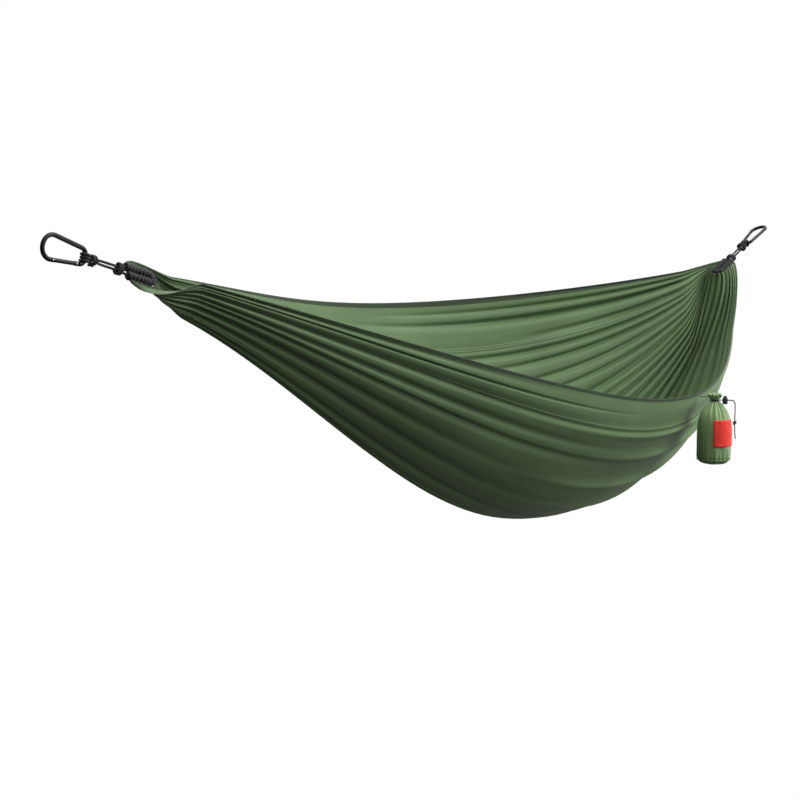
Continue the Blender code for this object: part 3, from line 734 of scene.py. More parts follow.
def bed_normal(t, share):
    """The unit normal of the smooth cloth, on its upper or inner side."""
    step = 0.0015
    low_t, high_t = np.clip(t - step, 0.0, 1.0), np.clip(t + step, 0.0, 1.0)
    low_s, high_s = np.clip(share - step, 0.0, 1.0), np.clip(share + step, 0.0, 1.0)
    normal = np.cross(bed(t, low_s) - bed(t, high_s), bed(low_t, share) - bed(high_t, share))
    normal /= np.maximum(np.linalg.norm(normal, axis=-1), 1e-12)[..., None]
    return -normal


class Pleats:
    """Folds that fan out from one gathered end, each of its own width, depth and length."""

    def __init__(self, seed, count, depth, reach, sharp, uneven=0.4, widen=0.0):
        draw = np.random.default_rng(seed)
        place = (np.arange(count) + 0.5) / count
        gaps = draw.uniform(1 - uneven, 1 + uneven, count) * (1 + widen * smooth((place - 0.45) / 0.35))
        self.edges = np.concatenate([[0.0], np.cumsum(gaps) / gaps.sum()])
        self.depth = depth * draw.uniform(0.65, 1.15, count)
        self.reach = reach * draw.uniform(0.55, 1.25, count)
        self.lean = draw.uniform(-0.16, 0.16, count)
        self.sharp = sharp

    def at(self, run, share):
        """Height of the cloth over its smooth shape, at a distance from the gather."""
        share = np.clip(share, 0.0, 0.999999)
        which = np.searchsorted(self.edges, share, side="right") - 1
        place = (share - self.edges[which]) / (self.edges[which + 1] - self.edges[which])
        place = place + self.lean[which] * np.sin(np.pi * place) ** 2
        wave = (0.5 - 0.5 * np.cos(TAU * place)) ** self.sharp
        rise = 0.30 + 0.70 * smooth(run / 0.16)
        fall = 1.0 - smooth((run / self.reach[which] - 0.18) / 0.82)
        mean = 0.32
        amount = self.depth[which] * rise * fall
        return amount * wave - mean * self.depth.mean() * rise * np.clip(1 - run / self.reach.mean(), 0, 1)


RIGHT_FOLDS = (
    Pleats(seed=3, count=22, depth=0.0235, reach=1.20, sharp=2.3, uneven=0.35, widen=1.6),
    Pleats(seed=11, count=46, depth=0.0034, reach=0.30, sharp=1.2),
)
LEFT_FOLDS = (
    Pleats(seed=5, count=21, depth=0.0125, reach=1.85, sharp=1.8, uneven=0.75),
    Pleats(seed=17, count=44, depth=0.0034, reach=0.45, sharp=1.3, uneven=0.6),
)


def relief(t, share):
    """How far the folds move the cloth along its inner normal: inward ridges right, outward left."""
    left_run, right_run = t * GATHER_SPAN, (1.0 - t) * GATHER_SPAN
    edge = np.minimum(share, 1.0 - share)
    taut = smooth(edge / 0.05)
    right_calm = 0.30 + 0.70 * smooth((0.93 - share) / 0.16)
    right_calm = right_calm * (0.25 + 0.75 * np.maximum(taut, smooth(1 - right_run / 0.12)))
    left_calm = 0.30 + 0.70 * np.maximum(taut, smooth(1 - left_run / 0.15))
    left_calm = left_calm * (1.0 - 0.72 * smooth((0.56 - share) / 0.12) * smooth(left_run / 0.5))
    left_calm = left_calm * (1.0 - 0.9 * smooth((left_run - 1.15) / 0.65))
    height = sum(folds.at(right_run, share) for folds in RIGHT_FOLDS) * right_calm
    height = height - sum(folds.at(left_run, share) for folds in LEFT_FOLDS) * left_calm
    broad = np.sin(7.3 * t + 9.1 * share) * np.sin(15.0 * share + 4.0 * t * t) * 0.0035 * smooth(edge / 0.2)
    nearest = np.minimum(left_run, right_run)
    seam_distance = np.abs(edge - SEAM_SHARE) * CLOTH_WIDTH
    ridge = 0.0022 * np.exp(-((seam_distance / 0.010) ** 2)) * smooth(nearest / 0.2)
    return height + (broad + ridge) * smooth(nearest / 0.25)


def cloth(t, share, lift=0.0):
    """The folded cloth, with its painted fold shade from 0 in a valley to 1 on a ridge, lowered further near
    the left gather.
    """
    t, share = np.broadcast_arrays(np.asarray(t, float), np.asarray(share, float))
    height = relief(t, share)
    normal = bed_normal(t, share)
    run = t * GATHER_SPAN
    loose = LOBE_DROP * smooth((share - 0.86) / 0.14) * np.sin(np.pi * np.clip(run / 0.13, 0.0, 1.0)) ** 1.5
    slack = -(0.75 * Z + 0.66 * Y) * loose[..., None]
    # Painted shade: near the left gather, most of all on the near strip, the fold shade is lowered so the
    # cloth paints darker there, as if in the shadow of its pleats.
    shaded = (0.45 + 0.35 * smooth((share - 0.8) / 0.1)) * (1.0 - smooth(run / 0.42))
    fold = np.clip(0.6 + height / 0.022 - shaded, 0.0, 1.0)
    return bed(t, share) + slack + normal * (height + lift)[..., None], fold


def stations(count):
    """Places along the span, closer together at the gathers."""
    x = np.linspace(0.0, 1.0, count)
    return x - 0.132 * np.sin(TAU * x)


def true_normals(points):
    """Unit normals of a grid of points."""
    normal = np.cross(np.gradient(points, axis=1), np.gradient(points, axis=0))
    return normal / np.maximum(np.linalg.norm(normal, axis=-1), 1e-12)[..., None]


def make_panel(name, first, last, columns, rows, node):
    """One panel of the bed, as a thin closed sheet that keeps its seams with its neighbours."""
    t = stations(rows)[:, None]
    share = np.linspace(first, last, columns)[None]
    middle, fold = cloth(t, share)
    normal = true_normals(middle)
    half = SHEET_THICKNESS / 2
    cut = spots(share * CLOTH_WIDTH, t * CLOTH_LENGTH, 0.0)
    mesh = sheet_mesh(name, middle + normal * half, middle - normal * half, cut, fold)
    panel = finish_mesh(name, mesh, "nylon", "hammock", (node,))


def make_bed():
    """Three panels, two rolled hems, and the stitching of the seams and hems."""
    seam, hem = SEAM_SHARE, HEM_SHARE * 0.6
    make_panel("bed_centre_panel", seam, 1 - seam, 420, 118, "centre_panel")
    make_panel("bed_far_strip", hem, seam, 54, 118, "far_side_strip")
    make_panel("bed_near_strip", 1 - seam, 1 - hem, 54, 118, "near_side_strip")
    for side, low, high in (("far", 0.0, HEM_SHARE), ("near", 1.0, 1 - HEM_SHARE)):
        make_hem(side, low, high)
        make_seam_stitches(f"{side}_hem_stitches", high + (low - high) * 0.12, 0.0016)
        for line, share in (("seam_a", seam + 0.0022), ("seam_b", seam - 0.0022)):
            make_seam_stitches(f"{side}_{line}_stitches", abs(low - share), 0.0004)
        make_felled_seam(f"{side}_felled_seam", abs(low - seam))


def make_hem(side, rim, inner):
    """The rim hem: cloth folded over twice, flat and rounded, puckered a little by its stitches."""
    rows, around = 620, 14
    t = stations(rows)
    angle = TAU * np.arange(around) / around
    mid, half = (rim + inner) / 2, abs(inner - rim) / 2
    share = mid + half * np.cos(angle)[None] * np.sign(rim - mid)
    along = t * CLOTH_LENGTH
    pucker = 0.00028 * np.sin(along * TAU / 0.011) + 0.0002 * np.sin(along * TAU / 0.037 + 1.0)
    flat = np.sign(np.sin(angle)) * np.abs(np.sin(angle)) ** 0.55
    thick = (0.0011 + pucker)[:, None] * flat[None]
    points, fold = cloth(t[:, None], np.clip(share, 0.0, 1.0))
    points = points + bed_normal(t[:, None], np.clip(share, 0.0, 1.0)) * thick[..., None]
    cut = spots(share * CLOTH_WIDTH, along[:, None], 0.0)
    caps = np.array([(0, around - 1 - k, around - 2 - k, 0) for k in range(around - 2)])
    ends = [caps, caps[:, ::-1] + (rows - 1) * around]
    faces = np.concatenate([grid_faces(rows, around, wrap_columns=True), *ends]).tolist()
    mesh = weld(raw_mesh(f"{side}_hem", points, faces, cut, fold), 1e-7)
    finish_mesh(f"{side}_hem", mesh, "hem", "hammock", (f"{side}_rim_hem",))


def make_seam_stitches(name, share, lift):
    """Stitches along the span on both faces of the cloth."""
    t = stations(700)
    rows = []
    for face in (1.0, -1.0):
        points = cloth(t, share, face * (0.0006 + lift))[0]
        rows.append(stitches(name, points, bed_normal(t, share) * face, 0.0042, 0.0031))
    finish_mesh(name, merged(name, rows), "thread", "hammock")


def make_felled_seam(name, share):
    """The felled seam: a low ridge of doubled cloth where two panels are joined."""
    rows = 420
    t = stations(rows)[:, None]
    half = 0.0052 / CLOTH_WIDTH
    across = np.array((-1.0, -0.9, -0.45, 0.0, 0.45, 0.9, 1.0, 0.9, 0.45, 0.0, -0.45, -0.9))
    face = np.array((0.0, 1.0, 1.15, 1.2, 1.15, 1.0, 0.0, -1.0, -1.15, -1.2, -1.15, -1.0))
    at = share + across[None] * half
    points, fold = cloth(t, at)
    points = points + bed_normal(t, at) * (face[None] * 0.00075)[..., None]
    faces = grid_faces(rows, len(across), wrap_columns=True).tolist()
    mesh = raw_mesh(name, points, faces, spots(at * CLOTH_WIDTH, t * CLOTH_LENGTH, 0.0), fold)
    finish_mesh(name, mesh, "nylon", "hammock")


# Ends: channels, ropes, knots


def channel_line(end, count):
    inward, across = hairpin(np.linspace(0.0, 1.0, count), CHANNEL_ARM, CHANNEL_MOUTH, CHANNEL_BOTTOM)
    return end.at(inward, across, end.roll)


def make_channel(end):
    """The black sleeve, crushed into ruffles along the gather rope, open at its two mouths."""
    count, sides = 300, 40
    line = channel_line(end, count)
    along = np.linspace(0.0, 1.0, count)[:, None]
    angle = TAU * np.arange(sides)[None] / sides
    draw = np.random.default_rng(21)
    crest = along * 15.5 + 0.16 * np.sin(angle + 0.8) + 0.10 * np.sin(2 * angle + 7 * along)
    ruffle = (0.5 + 0.5 * np.cos(TAU * crest)) ** 1.4
    uneven = 1.0 + 0.25 * np.interp(along, np.linspace(0, 1, 17), draw.uniform(-1, 1, 17))
    radius = CHANNEL_RADIUS * (0.86 + 0.20 * ruffle * uneven)
    wall = np.full_like(radius, CHANNEL_RADIUS * 0.46)
    side, up = frames_along(line)[1:]
    out = side[:, None] * np.cos(angle)[..., None] + up[:, None] * np.sin(angle)[..., None]
    points = np.stack([line[:, None] + out * radius[..., None], line[:, None] + out * wall[..., None]])
    half = count * sides
    shell = grid_faces(count, sides, wrap_columns=True)
    k = np.arange(sides)
    k2 = (k + 1) % sides
    mouths = [np.stack([k2, k, k + half, k2 + half], -1),
              np.stack([k, k2, k2 + half, k + half], -1) + (count - 1) * sides]
    faces = np.concatenate([shell, shell[:, ::-1] + half, *mouths]).tolist()
    cut = spots(angle * CHANNEL_RADIUS, along * 0.13, 0.0)
    name = f"{end.name}_channel"
    # Painted shade: the sleeve's ruffle valleys paint darker than their crests, and the inner wall, given a
    # fold shade of 0, paints darkest.
    mesh = raw_mesh(name, points, faces, np.stack([cut, cut]), np.stack([ruffle, 0 * ruffle]))
    finish_mesh(name, mesh, "sleeve", "hammock", (f"{end.name}_end_channel",))
    make_channel_stitches(end)


def make_channel_stitches(end):
    """Two rows of heavy stitches that hold the gathered cloth to the sleeve."""
    rows = []
    face = end.offset(end.roll + math.pi / 2)
    for lift in (0.0022, 0.0052):
        out = CHANNEL_RADIUS + lift
        run = np.linspace(0.02, 0.98, 200)
        curve = hairpin(run, CHANNEL_ARM + out, CHANNEL_MOUTH + END_MARGIN, CHANNEL_BOTTOM + out)
        line = end.at(*curve, end.roll)
        for hand in (1.0, -1.0):
            normal = np.broadcast_to(face * hand, line.shape)
            rows.append(stitches("row", line + normal * 0.0030, normal, 0.0032, 0.0024, 0.0005, 0.0006))
    name = f"{end.name}_channel_stitches"
    finish_mesh(name, merged(name, rows), "black_thread", "hammock")


def rope_reach():
    return SUSPENSION + CHANNEL_MOUTH - (RING_CORNERS[2][0] - BAR_RADIUS) * MM


def strand(end, run, side, across=None):
    """A point on one of the two strands, at a distance from the channel's mouth, and its angle."""
    reach = rope_reach()
    wide = CHANNEL_ARM + (STRAND_OFFSET - CHANNEL_ARM) * smooth(run / CLOSE_BY)
    wide = wide + (LOOP_RADIUS - STRAND_OFFSET) * smooth((run - reach + SPLAY_FROM) / SPLAY_OVER)
    angle = end.roll + (end.twist - end.roll) * smooth((run - FIRST_TWIST) / FIRST_TWIST_OVER)
    angle = angle + (end.turn - end.twist) * smooth((run - reach + LAST_TWIST) / LAST_TWIST_OVER)
    return end.at(CHANNEL_MOUTH - run, side * wide if across is None else across, angle), angle


def make_rope(end):
    """One closed loop of braided rope: through the sleeve, out as two strands and over the bar."""
    reach = rope_reach()
    runs = np.linspace(0.0, reach, 17)[1:-1]
    near = strand(end, runs, -1.0)[0]
    far = strand(end, runs, 1.0)[0][::-1]
    bow = np.linspace(0.0, math.pi, 9)
    over = end.at(CHANNEL_MOUTH - reach - LOOP_RADIUS * np.sin(bow), -LOOP_RADIUS * np.cos(bow), end.turn)
    path = np.concatenate([channel_line(end, 25), near, over, far])
    name = f"{end.name}_rope"
    mesh = braid(name, path, ROPE_RADIUS, closed=True)[0]
    finish_mesh(name, mesh, "rope", "hammock", (f"{end.name}_gather_rope",))


def make_bar_turns(end):
    """Two more turns of the rope round the carabiner's bar, one on each side of the loop."""
    bow = np.linspace(0.0, TAU, 28, endpoint=False)
    inward = CHANNEL_MOUTH - rope_reach() - 0.0006 - BAR_TURN * np.cos(bow)
    ring = end.at(inward, BAR_TURN * np.sin(bow), end.turn)
    aside = end.offset(end.turn + math.pi / 2) * (0.0063 + 0.0004 * np.cos(bow))[:, None]
    turns = [braid("turn", ring + hand * aside, ROPE_RADIUS, closed=True)[0] for hand in (1.0, -1.0)]
    name = f"{end.name}_bar_turns"
    finish_mesh(name, merged(name, turns), "rope", "hammock")


def make_wrap(name, end, start, tail, node):
    """A knot: rope wound round both strands, its two ends standing out as short tails."""
    around = 14
    last = int(WRAP_TURNS * around)
    steps = np.arange(-4, last + 5)
    theta = TAU * steps / around
    run = start + WRAP_PITCH * np.clip(steps, 0, last) / around
    free = np.maximum(0, np.maximum(-steps, steps - last))
    grow = 1.0 + 0.115 * free * tail
    centre, angle = strand(end, run, 0.0, across=0.0 * run)
    points = (centre + end.offset(angle) * (WRAP_ACROSS * np.cos(theta) * grow)[:, None]
              + end.offset(angle + math.pi / 2) * (WRAP_THROUGH * np.sin(theta) * grow)[:, None])
    name, node = f"{end.name}_{name}", f"{end.name}_{node}"
    finish_mesh(name, braid(name, points, ROPE_RADIUS)[0], "rope", "hammock", (node,))


# Carabiners


def rounded(corners, steps=12):
    """A polyline through corners given as (x, y, radius), each rounded by an arc."""
    points = [np.array(corners[0][:2], float)]
    for before, corner, after in zip(corners, corners[1:], corners[2:]):
        here = np.array(corner[:2], float)
        back = np.array(before[:2], float) - here
        ahead = np.array(after[:2], float) - here
        back, ahead = back / np.linalg.norm(back), ahead / np.linalg.norm(ahead)
        half = math.acos(float(back @ ahead)) / 2
        middle = back + ahead
        centre = here + middle / np.linalg.norm(middle) * (corner[2] / math.sin(half))
        first = here + back * (corner[2] / math.tan(half)) - centre
        final = here + ahead * (corner[2] / math.tan(half)) - centre
        sweep = math.atan2(first[0] * final[1] - first[1] * final[0], first @ final)
        for step in range(steps + 1):
            turn = sweep * step / steps
            spun = (first[0] * math.cos(turn) - first[1] * math.sin(turn),
                    first[0] * math.sin(turn) + first[1] * math.cos(turn))
            points.append(centre + np.array(spun))
    points.append(np.array(corners[-1][:2], float))
    return points


def gate_line(distance):
    start, end = np.array(RING_CORNERS[0][:2], float), np.array(RING_CORNERS[3][:2], float)
    return start + (end - start) / np.linalg.norm(end - start) * distance


def ring_frame(end):
    """The matrix from the carabiner's own frame (in mm) to the world."""
    along = Vector(end.along)
    spine = Vector(end.up) * math.cos(end.turn) - Vector((0.0, math.sin(end.turn), 0.0))
    turn = Matrix((along, spine, along.cross(spine))).transposed().to_4x4()
    origin = Vector(end.hang) - along * ((RING_CORNERS[2][0] - BAR_RADIUS) * MM)
    return Matrix.Translation(origin) @ turn @ Matrix.Scale(MM, 4)


def gate_frame(end):
    start, nose = gate_line(HINGE_AT), gate_line(NOSE_AT)
    ahead = nose - start
    turn = Matrix.Rotation(math.atan2(ahead[1], ahead[0]), 4, "Z")
    return ring_frame(end) @ Matrix.Translation((start[0], start[1], 0.0)) @ turn


def place_box(frame_matrix, low, high):
    low, high = Vector(low), Vector(high)
    return frame_matrix @ Matrix.Translation((low + high) / 2), tuple(high - low)


def make_carabiner(end):
    """The forged frame, flattened along its spine, slotted for the gate at both ends."""
    start, stop = gate_line(HINGE_AT + 4.4), gate_line(NOSE_AT - 4.2)
    corners = ((*start, 0), *RING_CORNERS, (*stop, 0))
    flat_path = np.array(rounded(corners))
    path = np.concatenate([flat_path, np.zeros((len(flat_path), 1))], 1)
    path = densify(path, 2.0)
    ahead, side = path[:, 0], path[:, 1]
    spine = smooth((side - 9.0) / 6.0) * smooth((ahead - 8.0) / 14.0) * smooth((102.0 - ahead) / 14.0)
    sides = 32
    angle = TAU * np.arange(sides) / sides
    power = (1.0 - 0.42 * spine)[:, None]
    across = np.sign(np.cos(angle)) * np.abs(np.cos(angle)) ** power * BAR_RADIUS
    through = np.sign(np.sin(angle)) * np.abs(np.sin(angle)) ** power * (BAR_RADIUS - spine)[:, None]
    flat_side = spots(-np.gradient(side), np.gradient(ahead), 0.0)
    flat_side /= np.linalg.norm(flat_side, axis=1)[:, None]
    rings = path[:, None] + flat_side[:, None] * across[..., None] + Z * through[..., None]
    mesh = raw_mesh(f"{end.name}_carabiner", rings, capped_faces(len(path), sides))
    mesh.transform(ring_frame(end))
    weld(mesh, 1e-8)
    gate = gate_frame(end)
    wide = BAR_RADIUS + 2
    boxes = []
    for face in (-1.0, 1.0):
        low, high = sorted((face * 1.5, face * wide))
        boxes.append(place_box(gate, (-6.8, -wide, low), (6.0, wide, high)))
        boxes.append(place_box(gate, (GATE_LENGTH - 6.0, -wide, low), (GATE_LENGTH + 6.0, wide, high)))
    boxes.append(place_box(gate, (GATE_LENGTH - 1.7, -1.7, -wide), (GATE_LENGTH + 1.7, wide, wide)))
    mesh = crisp(cut_boxes(mesh, boxes))
    body = f"{end.name}_carabiner"
    finish_mesh(f"{body}_body", mesh, "anodised", body, (f"{body}_frame",))
    make_gate(end, gate)


def densify(path, step):
    """Extra points on the straight runs of a polyline."""
    out = [path[0]]
    for a, b in zip(path, path[1:]):
        count = max(1, int(np.linalg.norm(b - a) / step))
        out += [a + (b - a) * k / count for k in range(1, count + 1)]
    return np.array(out)


def make_gate(end, seat):
    """The gate with its slotted ends, a rivet at the hinge and a pin at the nose, both with domed heads."""
    length, body = GATE_LENGTH, GATE_RADIUS
    profile = ((0.0, -4.5), (3.0, -4.5), (3.9, -4.2), (body, -3.2), (body, 8.0), (4.15, 8.8), (4.15, 10.6),
               (body, 11.4), (body, length - 9.0), (4.25, length - 8.2), (body, length - 7.4),
               (body, length + 3.2), (3.9, length + 4.2), (3.0, length + 4.5), (0.0, length + 4.5))
    mesh = lathe(f"{end.name}_gate_bar", profile, (0, 0, 0), (1, 0, 0), 36)
    mesh.transform(seat)
    wide = GATE_RADIUS + 2
    mesh = crisp(cut_boxes(mesh, [place_box(seat, (-8, -wide, -1.85), (6.9, wide, 1.85)),
                                  place_box(seat, (length - 6.5, -wide, -1.85), (length + 8, wide, 1.85))]))
    finish_mesh(f"{end.name}_gate_bar", mesh, "anodised", f"{end.name}_gate",
                (f"{end.name}_carabiner_gate",))
    head = ((0.0, -4.75), (1.1, -4.65), (1.8, -4.35), (1.85, -4.1), (1.45, -4.0), (1.45, 4.0), (1.85, 4.1),
            (1.8, 4.35), (1.1, 4.65), (0.0, 4.75))
    for kind, at, size, body in (("gate_rivet", 0.0, 1.0, "carabiner"), ("nose_pin", length, 0.84, "gate")):
        name = f"{end.name}_{kind}"
        outline = [(radius * size, height * 0.985) for radius, height in head]
        pin = lathe(f"{name}_head", outline, (at, 0, 0), (0, 0, 1), 24)
        pin.transform(seat)
        finish_mesh(f"{name}_head", crisp(pin), "steel", f"{end.name}_{body}", (name,))


# Stuff sack


def heading(angle):
    angle = np.asarray(angle)
    return spots(np.cos(angle), np.sin(angle), 0.0 * angle)


def sack_places():
    """The rim point that the sack hangs on, the outward direction there, and the top of the sack."""
    share = 1.0 - HEM_SHARE / 2
    rim = bed(SACK_AT, share)
    along = bed(SACK_AT + 0.01, share) - bed(SACK_AT - 0.01, share)
    along[2] = 0.0
    along /= np.linalg.norm(along)
    out = np.array((along[1], -along[0], 0.0))
    return rim, out, rim + out * SACK_OUT + Z * SACK_RISE


RIM, OUT, TOP = sack_places()
NECK = TOP - Z * NECK_DEPTH

SACK_PROFILE = np.array((
    (0.0020, -0.0125), (0.0070, -0.0118), (0.0100, -0.0080), (0.0125, -0.0030), (0.0150, 0.0000),
    (0.0166, -0.0012), (0.0165, -0.0050), (0.0146, -0.0100), (0.0118, -0.0140), (0.0108, -0.0170),
    (0.0114, -0.0196), (0.0148, -0.0240), (0.0205, -0.0305), (0.0262, -0.0375), (0.0318, -0.0455),
    (0.0365, -0.0545), (0.0402, -0.0645), (0.0428, -0.0755), (0.0442, -0.0880), (0.0449, -0.1020),
    (0.0450, -0.1180), (0.0450, -0.1350), (0.0449, -0.1500), (0.0444, -0.1620), (0.0434, -0.1700),
    (0.0414, -0.1752), (0.0380, -0.1792), (0.0330, -0.1830), (0.0260, -0.1856), (0.0180, -0.1870),
    (0.0090, -0.1878), (0.0015, -0.1880),
))


def sack_radius(depth, angle, flatten=0.0):
    """The sack's outer radius with its folds, at a height below the top and a heading."""
    order = np.argsort(-SACK_PROFILE[8:25, 1])
    plain = np.interp(-depth, -SACK_PROFILE[8:25, 1][order], SACK_PROFILE[8:25, 0][order])
    return plain + sack_folds(depth, angle) * (1.0 - flatten)


def sack_folds(depth, angle):
    """Gathers that run down from the neck, soft vertical creases, and puckers above the base seam."""
    down = -depth
    gathers = np.cos(17 * angle + 0.7 * np.sin(3 * angle)) + 0.5 * np.cos(11 * angle + 1.9)
    soft = np.cos(5 * angle + 0.6 + down * 6) + 0.8 * np.cos(8 * angle + 2.1 - down * 9)
    soft = soft + 0.4 * np.cos(13 * angle + 1.0)
    puckers = np.cos(23 * angle + 0.8 * np.sin(2 * angle)) + 0.5 * np.cos(9 * angle)
    neck = smooth((0.090 - down) / 0.055) * smooth((down - 0.016) / 0.012)
    body = smooth((down - 0.040) / 0.05)
    base = smooth((down - 0.145) / 0.022) * smooth((0.186 - down) / 0.012)
    aside = np.angle(np.exp(1j * (angle - LABEL_HEADING)))
    label = np.exp(-((aside / 0.85) ** 4)) * smooth((down - 0.058) / 0.010) * smooth((0.145 - down) / 0.010)
    creases = 0.00105 * body * soft * (1 - 0.85 * label)
    return 0.0017 * neck * gathers + creases + 0.0007 * base * puckers - 0.0006 * body


def make_sack():
    """The gathered sack: frilled mouth, tight neck, folded shoulders, body and closed base."""
    fine = resample(np.concatenate([SACK_PROFILE, np.zeros((len(SACK_PROFILE), 1))], 1), 0.0022)[:, :2]
    sides = 200
    angle = TAU * np.arange(sides)[None] / sides
    radius, depth = fine[:, :1], fine[:, 1:]
    step = np.arange(len(fine))[:, None] / len(fine)
    mouth = smooth((0.0150 + depth) / 0.010) * np.ones_like(angle)
    frill = np.cos(9 * angle + 0.5) + 0.6 * np.cos(14 * angle + 2.0)
    outer = radius + mouth * 0.0021 * frill * smooth(radius / 0.010)
    turned = np.where(step < 0.16, 0.0, sack_folds(depth, angle))
    outer = outer + turned * smooth(radius / 0.012)
    lift = mouth * 0.0016 * np.cos(7 * angle + 1.2) * smooth(radius / 0.012)
    points = TOP + heading(angle) * outer[..., None] + Z * (depth + lift)[..., None]
    cut = spots(angle * SACK_RADIUS, np.cumsum(np.abs(np.gradient(fine[:, 1])))[:, None], 0.0)
    # Painted shade: the sack's fold valleys and creases paint darker than its ridges.
    fold = np.clip(0.62 + turned / 0.004, 0, 1)
    mesh = weld(raw_mesh("sack_shell", points, capped_faces(len(fine), sides), cut, fold))
    sack = finish_mesh("sack_shell", mesh, "sack", "sack", ("sack_body",))


def make_piping():
    """The piping round the edge of the base, and the stitches beside it."""
    angle = TAU * np.arange(160) / 160
    out = heading(angle)
    around = sack_radius(np.full_like(angle, -PIPING_DEPTH + 0.0010), angle) + 0.0002
    ring = TOP + out * around[:, None] - Z * PIPING_DEPTH
    thick = 0.0014 + 0.00018 * np.cos(40 * angle)
    piping = join_parts("sack_piping", [tube_parts(ring, thick, 10, closed=True)])
    finish_mesh("sack_piping", piping, "piping", "sack", ("sack_base_piping",))
    around = sack_radius(np.full_like(angle, -BASE_STITCH_DEPTH), angle) + 0.0003
    line = TOP + out * around[:, None] - Z * BASE_STITCH_DEPTH
    row = stitches("sack_base_stitches", line, out, 0.0035, 0.0026)
    finish_mesh("sack_base_stitches", row, "thread", "sack")


def label_point(across, down, lift):
    """A point of the label from its place on the flat tag: it follows the sack, a little straighter."""
    angle = LABEL_HEADING + across / (SACK_RADIUS + 0.0012)
    depth = -LABEL_DEPTH + down
    radius = sack_radius(depth, angle, 0.35) + 0.0013 + lift
    return TOP + heading(angle) * radius[..., None] + Z * np.asarray(depth)[..., None]


def make_label():
    """The red woven label with a turned edge and a stitched border."""
    half = LABEL_SIZE / 2
    u = np.linspace(-half, half, 61)[None]
    v = np.linspace(-half, half, 61)[:, None]
    edge = np.maximum(np.abs(u), np.abs(v))
    inset = half - edge
    rolled = 0.0004 * smooth((0.007 - inset) / 0.001) - 0.0009 * smooth((0.0012 - inset) / 0.0012)
    ripple = 0.00022 * np.sin(u * 210) * np.sin(v * 170 + 0.6)
    lift = 0.0004 + rolled + ripple
    cut = spots(u, v, 0.0)
    outer = label_point(cut[..., 0], cut[..., 1], lift)
    inner = label_point(cut[..., 0], cut[..., 1], np.full_like(lift, -0.0006))
    # Painted shade: the label paints darker where it lies lower, at its turned edge and in its ripples.
    mesh = sheet_mesh("label", outer, inner, cut, np.clip(0.75 + lift / 0.002, 0, 1))
    label = finish_mesh("label", mesh, "label", "sack", ("sack_label",))
    square = half - 0.0042
    corners = np.array(((-1, -1), (1, -1), (1, 1), (-1, 1), (-1, -1)), float) * square
    rows = []
    for a, b in zip(corners, corners[1:]):
        flat = a + (b - a) * np.linspace(0, 1, 40)[:, None]
        line = label_point(flat[:, 0], flat[:, 1], np.full(40, 0.0011))
        out = line - TOP - Z * (line[:, 2:] - TOP[2])
        rows.append(stitches("side", line, out, 0.0030, 0.0023, 0.0004, 0.0004))
    mesh = merged("label_stitches", rows)
    border = finish_mesh("label_stitches", mesh, "red_thread", "sack")


def make_loop():
    """The flat tape that joins the sack's mouth to the rim hem."""
    start = RIM + OUT * 0.0075 - Z * 0.006
    end = TOP - OUT * 0.0165 - Z * 0.006
    middle = (start + end) / 2 - Z * 0.004
    rows, around = 40, 16
    share = np.linspace(0, 1, rows)[:, None]
    path = start * (1 - share) ** 2 + middle * (2 * share * (1 - share)) + end * share**2
    angle = TAU * np.arange(around) / around
    side = np.cross(OUT, Z)
    ahead = np.gradient(path, axis=0)
    ahead /= np.linalg.norm(ahead, axis=1)[:, None]
    up = np.cross(side, ahead)
    wide = np.sign(np.cos(angle)) * np.abs(np.cos(angle)) ** 0.35 * 0.0042
    thick = np.sign(np.sin(angle)) * np.abs(np.sin(angle)) ** 0.6 * 0.0008
    rings = path[:, None] + side * wide[None, :, None] + up[:, None] * thick[None, :, None]
    cut = spots(wide[None], share * 0.05, 0.0)
    mesh = weld(raw_mesh("sack_tape", rings, capped_faces(rows, around), cut))
    finish_mesh("sack_tape", mesh, "sleeve", "sack", ("sack_loop_tape",))


TAIL_STOPS = (
    (0.0146, 0.0), (0.022, 0.0), (0.030, 0.0), (0.0375, 0.0), (0.0435, -0.0001), (0.0490, -0.0022),
    (0.0522, -0.0080), (0.0530, -0.0170), (0.0530, -0.028), (0.0528, -0.040), (0.0525, -0.052),
    (0.0524, -0.062), (0.0526, -0.072), (0.0530, -0.082), (0.0538, -0.092), (0.0548, -0.102),
)


def tail_route(side):
    """The route of one drawcord tail: out through the cord lock, then down the outside of the sack."""
    across = heading(TAIL_HEADING + math.pi / 2) * (side * 0.0017)
    route = []
    for reach, drop in TAIL_STOPS:
        spread = 1.0 + max(0.0, -drop - 0.070) * 70 * (0.6 if side < 0 else 1.0)
        route.append(NECK + heading(TAIL_HEADING) * reach + across * spread + Z * drop)
    return np.array(route)


def make_cords():
    """The drawcord round the neck, its two tails and the knot that holds them together."""
    knot = make_knot()
    for side, letter in ((-1.0, "a"), (1.0, "b")):
        route = tail_route(side)
        name = f"tail_{letter}"
        mesh, path = braid(f"cord_{name}", route, CORD_RADIUS)
        tail = finish_mesh(f"cord_{name}", mesh, "rope", "sack", (f"drawcord_{name}",))
    ring = NECK + heading(TAU * np.arange(24) / 24) * NECK_RING
    mesh = braid("neck_cord", ring, CORD_RADIUS, closed=True)[0]
    finish_mesh("neck_cord", mesh, "rope", "sack", ("sack_drawcord",))


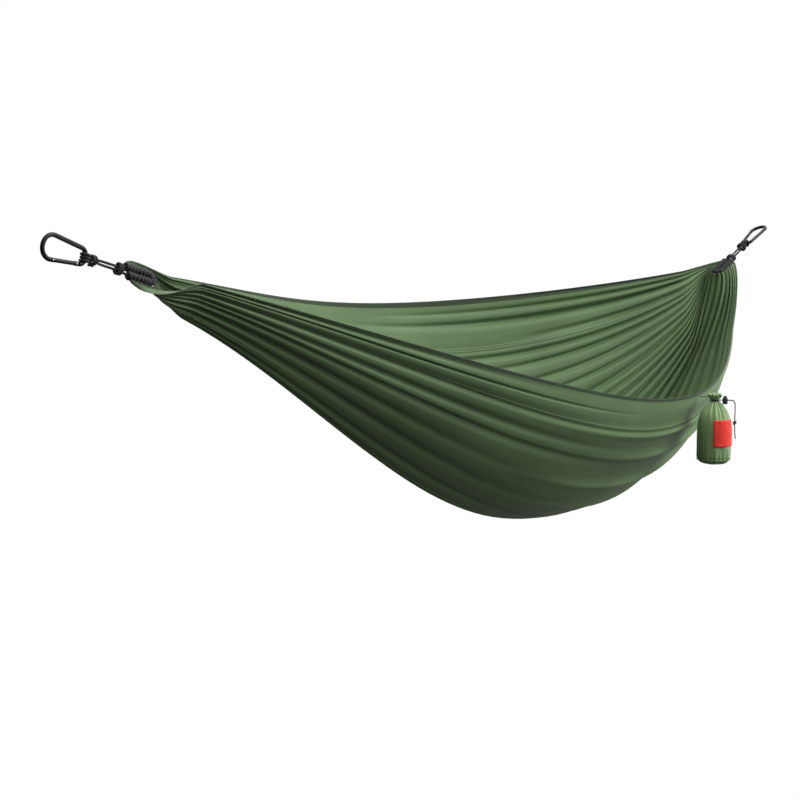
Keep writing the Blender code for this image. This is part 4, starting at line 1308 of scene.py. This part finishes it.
def make_knot():
    """An overhand knot in the pair of tails."""
    middle = NECK + heading(TAIL_HEADING) * KNOT_OUT - Z * KNOT_DROP
    side, face = heading(TAIL_HEADING + math.pi / 2), heading(TAIL_HEADING)
    angle = np.linspace(0.0, 2 * TAU, 40)
    level = 0.0034 * (1 - angle / TAU) + 0.0012 * np.sin(angle * 1.5)
    swell = 1.0 + 0.10 * np.sin(angle * 1.5 + 0.8)
    path = (middle + side * (0.0046 * swell * np.cos(angle))[:, None]
            + face * (0.0036 * swell * np.sin(angle))[:, None] + Z * level[:, None])
    mesh = braid("cord_knot", path, CORD_RADIUS * 1.05)[0]
    return finish_mesh("cord_knot", mesh, "rope", "sack", ("drawcord_knot",))


def make_cord_lock():
    """The cord lock: ribbed barrel, push button and the slot that the cords run through."""
    centre = NECK + heading(TAIL_HEADING) * LOCK_OUT
    barrel = ((0.0, -10.5), (4.6, -10.5), (5.8, -10.2), (6.5, -9.3), (6.8, -8.0), (6.8, -6.4), (6.35, -6.0),
              (6.35, -5.2), (6.8, -4.8), (6.8, -3.0), (6.8, 4.6), (6.6, 5.6), (6.1, 6.3), (5.6, 6.5),
              (5.05, 6.2), (5.0, 5.0), (5.0, -9.0), (0.0, -9.0))
    mesh = lathe("lock_barrel", [(r * MM, h * MM) for r, h in barrel], centre, sides=48)
    seat = Matrix.Translation(Vector(centre)) @ Matrix.Rotation(TAIL_HEADING, 4, "Z")
    mesh = crisp(cut_boxes(mesh, [(seat, (0.030, 0.0068, 0.0036))]))
    finish_mesh("lock_barrel", mesh, "plastic", "cord_lock", ("cord_lock_barrel",))
    button = ((0.0, -3.5), (4.3, -3.5), (4.6, -3.2), (4.6, 9.4), (4.4, 10.3), (3.9, 11.0), (3.0, 11.4),
              (2.4, 11.15), (0.0, 11.0))
    mesh = lathe("lock_push_button", [(r * MM, h * MM) for r, h in button], centre, sides=40)
    mesh = crisp(cut_boxes(mesh, [(seat @ Matrix.Translation((0, 0, 0.0016)), (0.030, 0.0068, 0.0068))]))
    finish_mesh("lock_push_button", mesh, "plastic", "lock_button", ("cord_lock_button",))


def dress_frame():
    """Give the CAD nodes that still show their material: springs and push pins."""
    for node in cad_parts.values():
        if node.hide_render:
            continue
        node.data.materials.clear()
        node.data.materials.append(MATERIALS["steel"])
        node.data.polygons.foreach_set("use_smooth", [True] * len(node.data.polygons))


make_camera()
make_studio()
make_cords()
make_bed()
for gathered in (LEFT, RIGHT):
    make_channel(gathered)
    make_rope(gathered)
    make_wrap("cinch", gathered, CINCH_AT, 0.3, "cinch_wrap")
    make_wrap("hitch", gathered, rope_reach() - HITCH_BEFORE_BAR, 0.8, "hitch_knot")
    make_bar_turns(gathered)
    make_carabiner(gathered)
make_sack()
make_piping()
make_label()
make_loop()
make_cord_lock()
dress_frame()
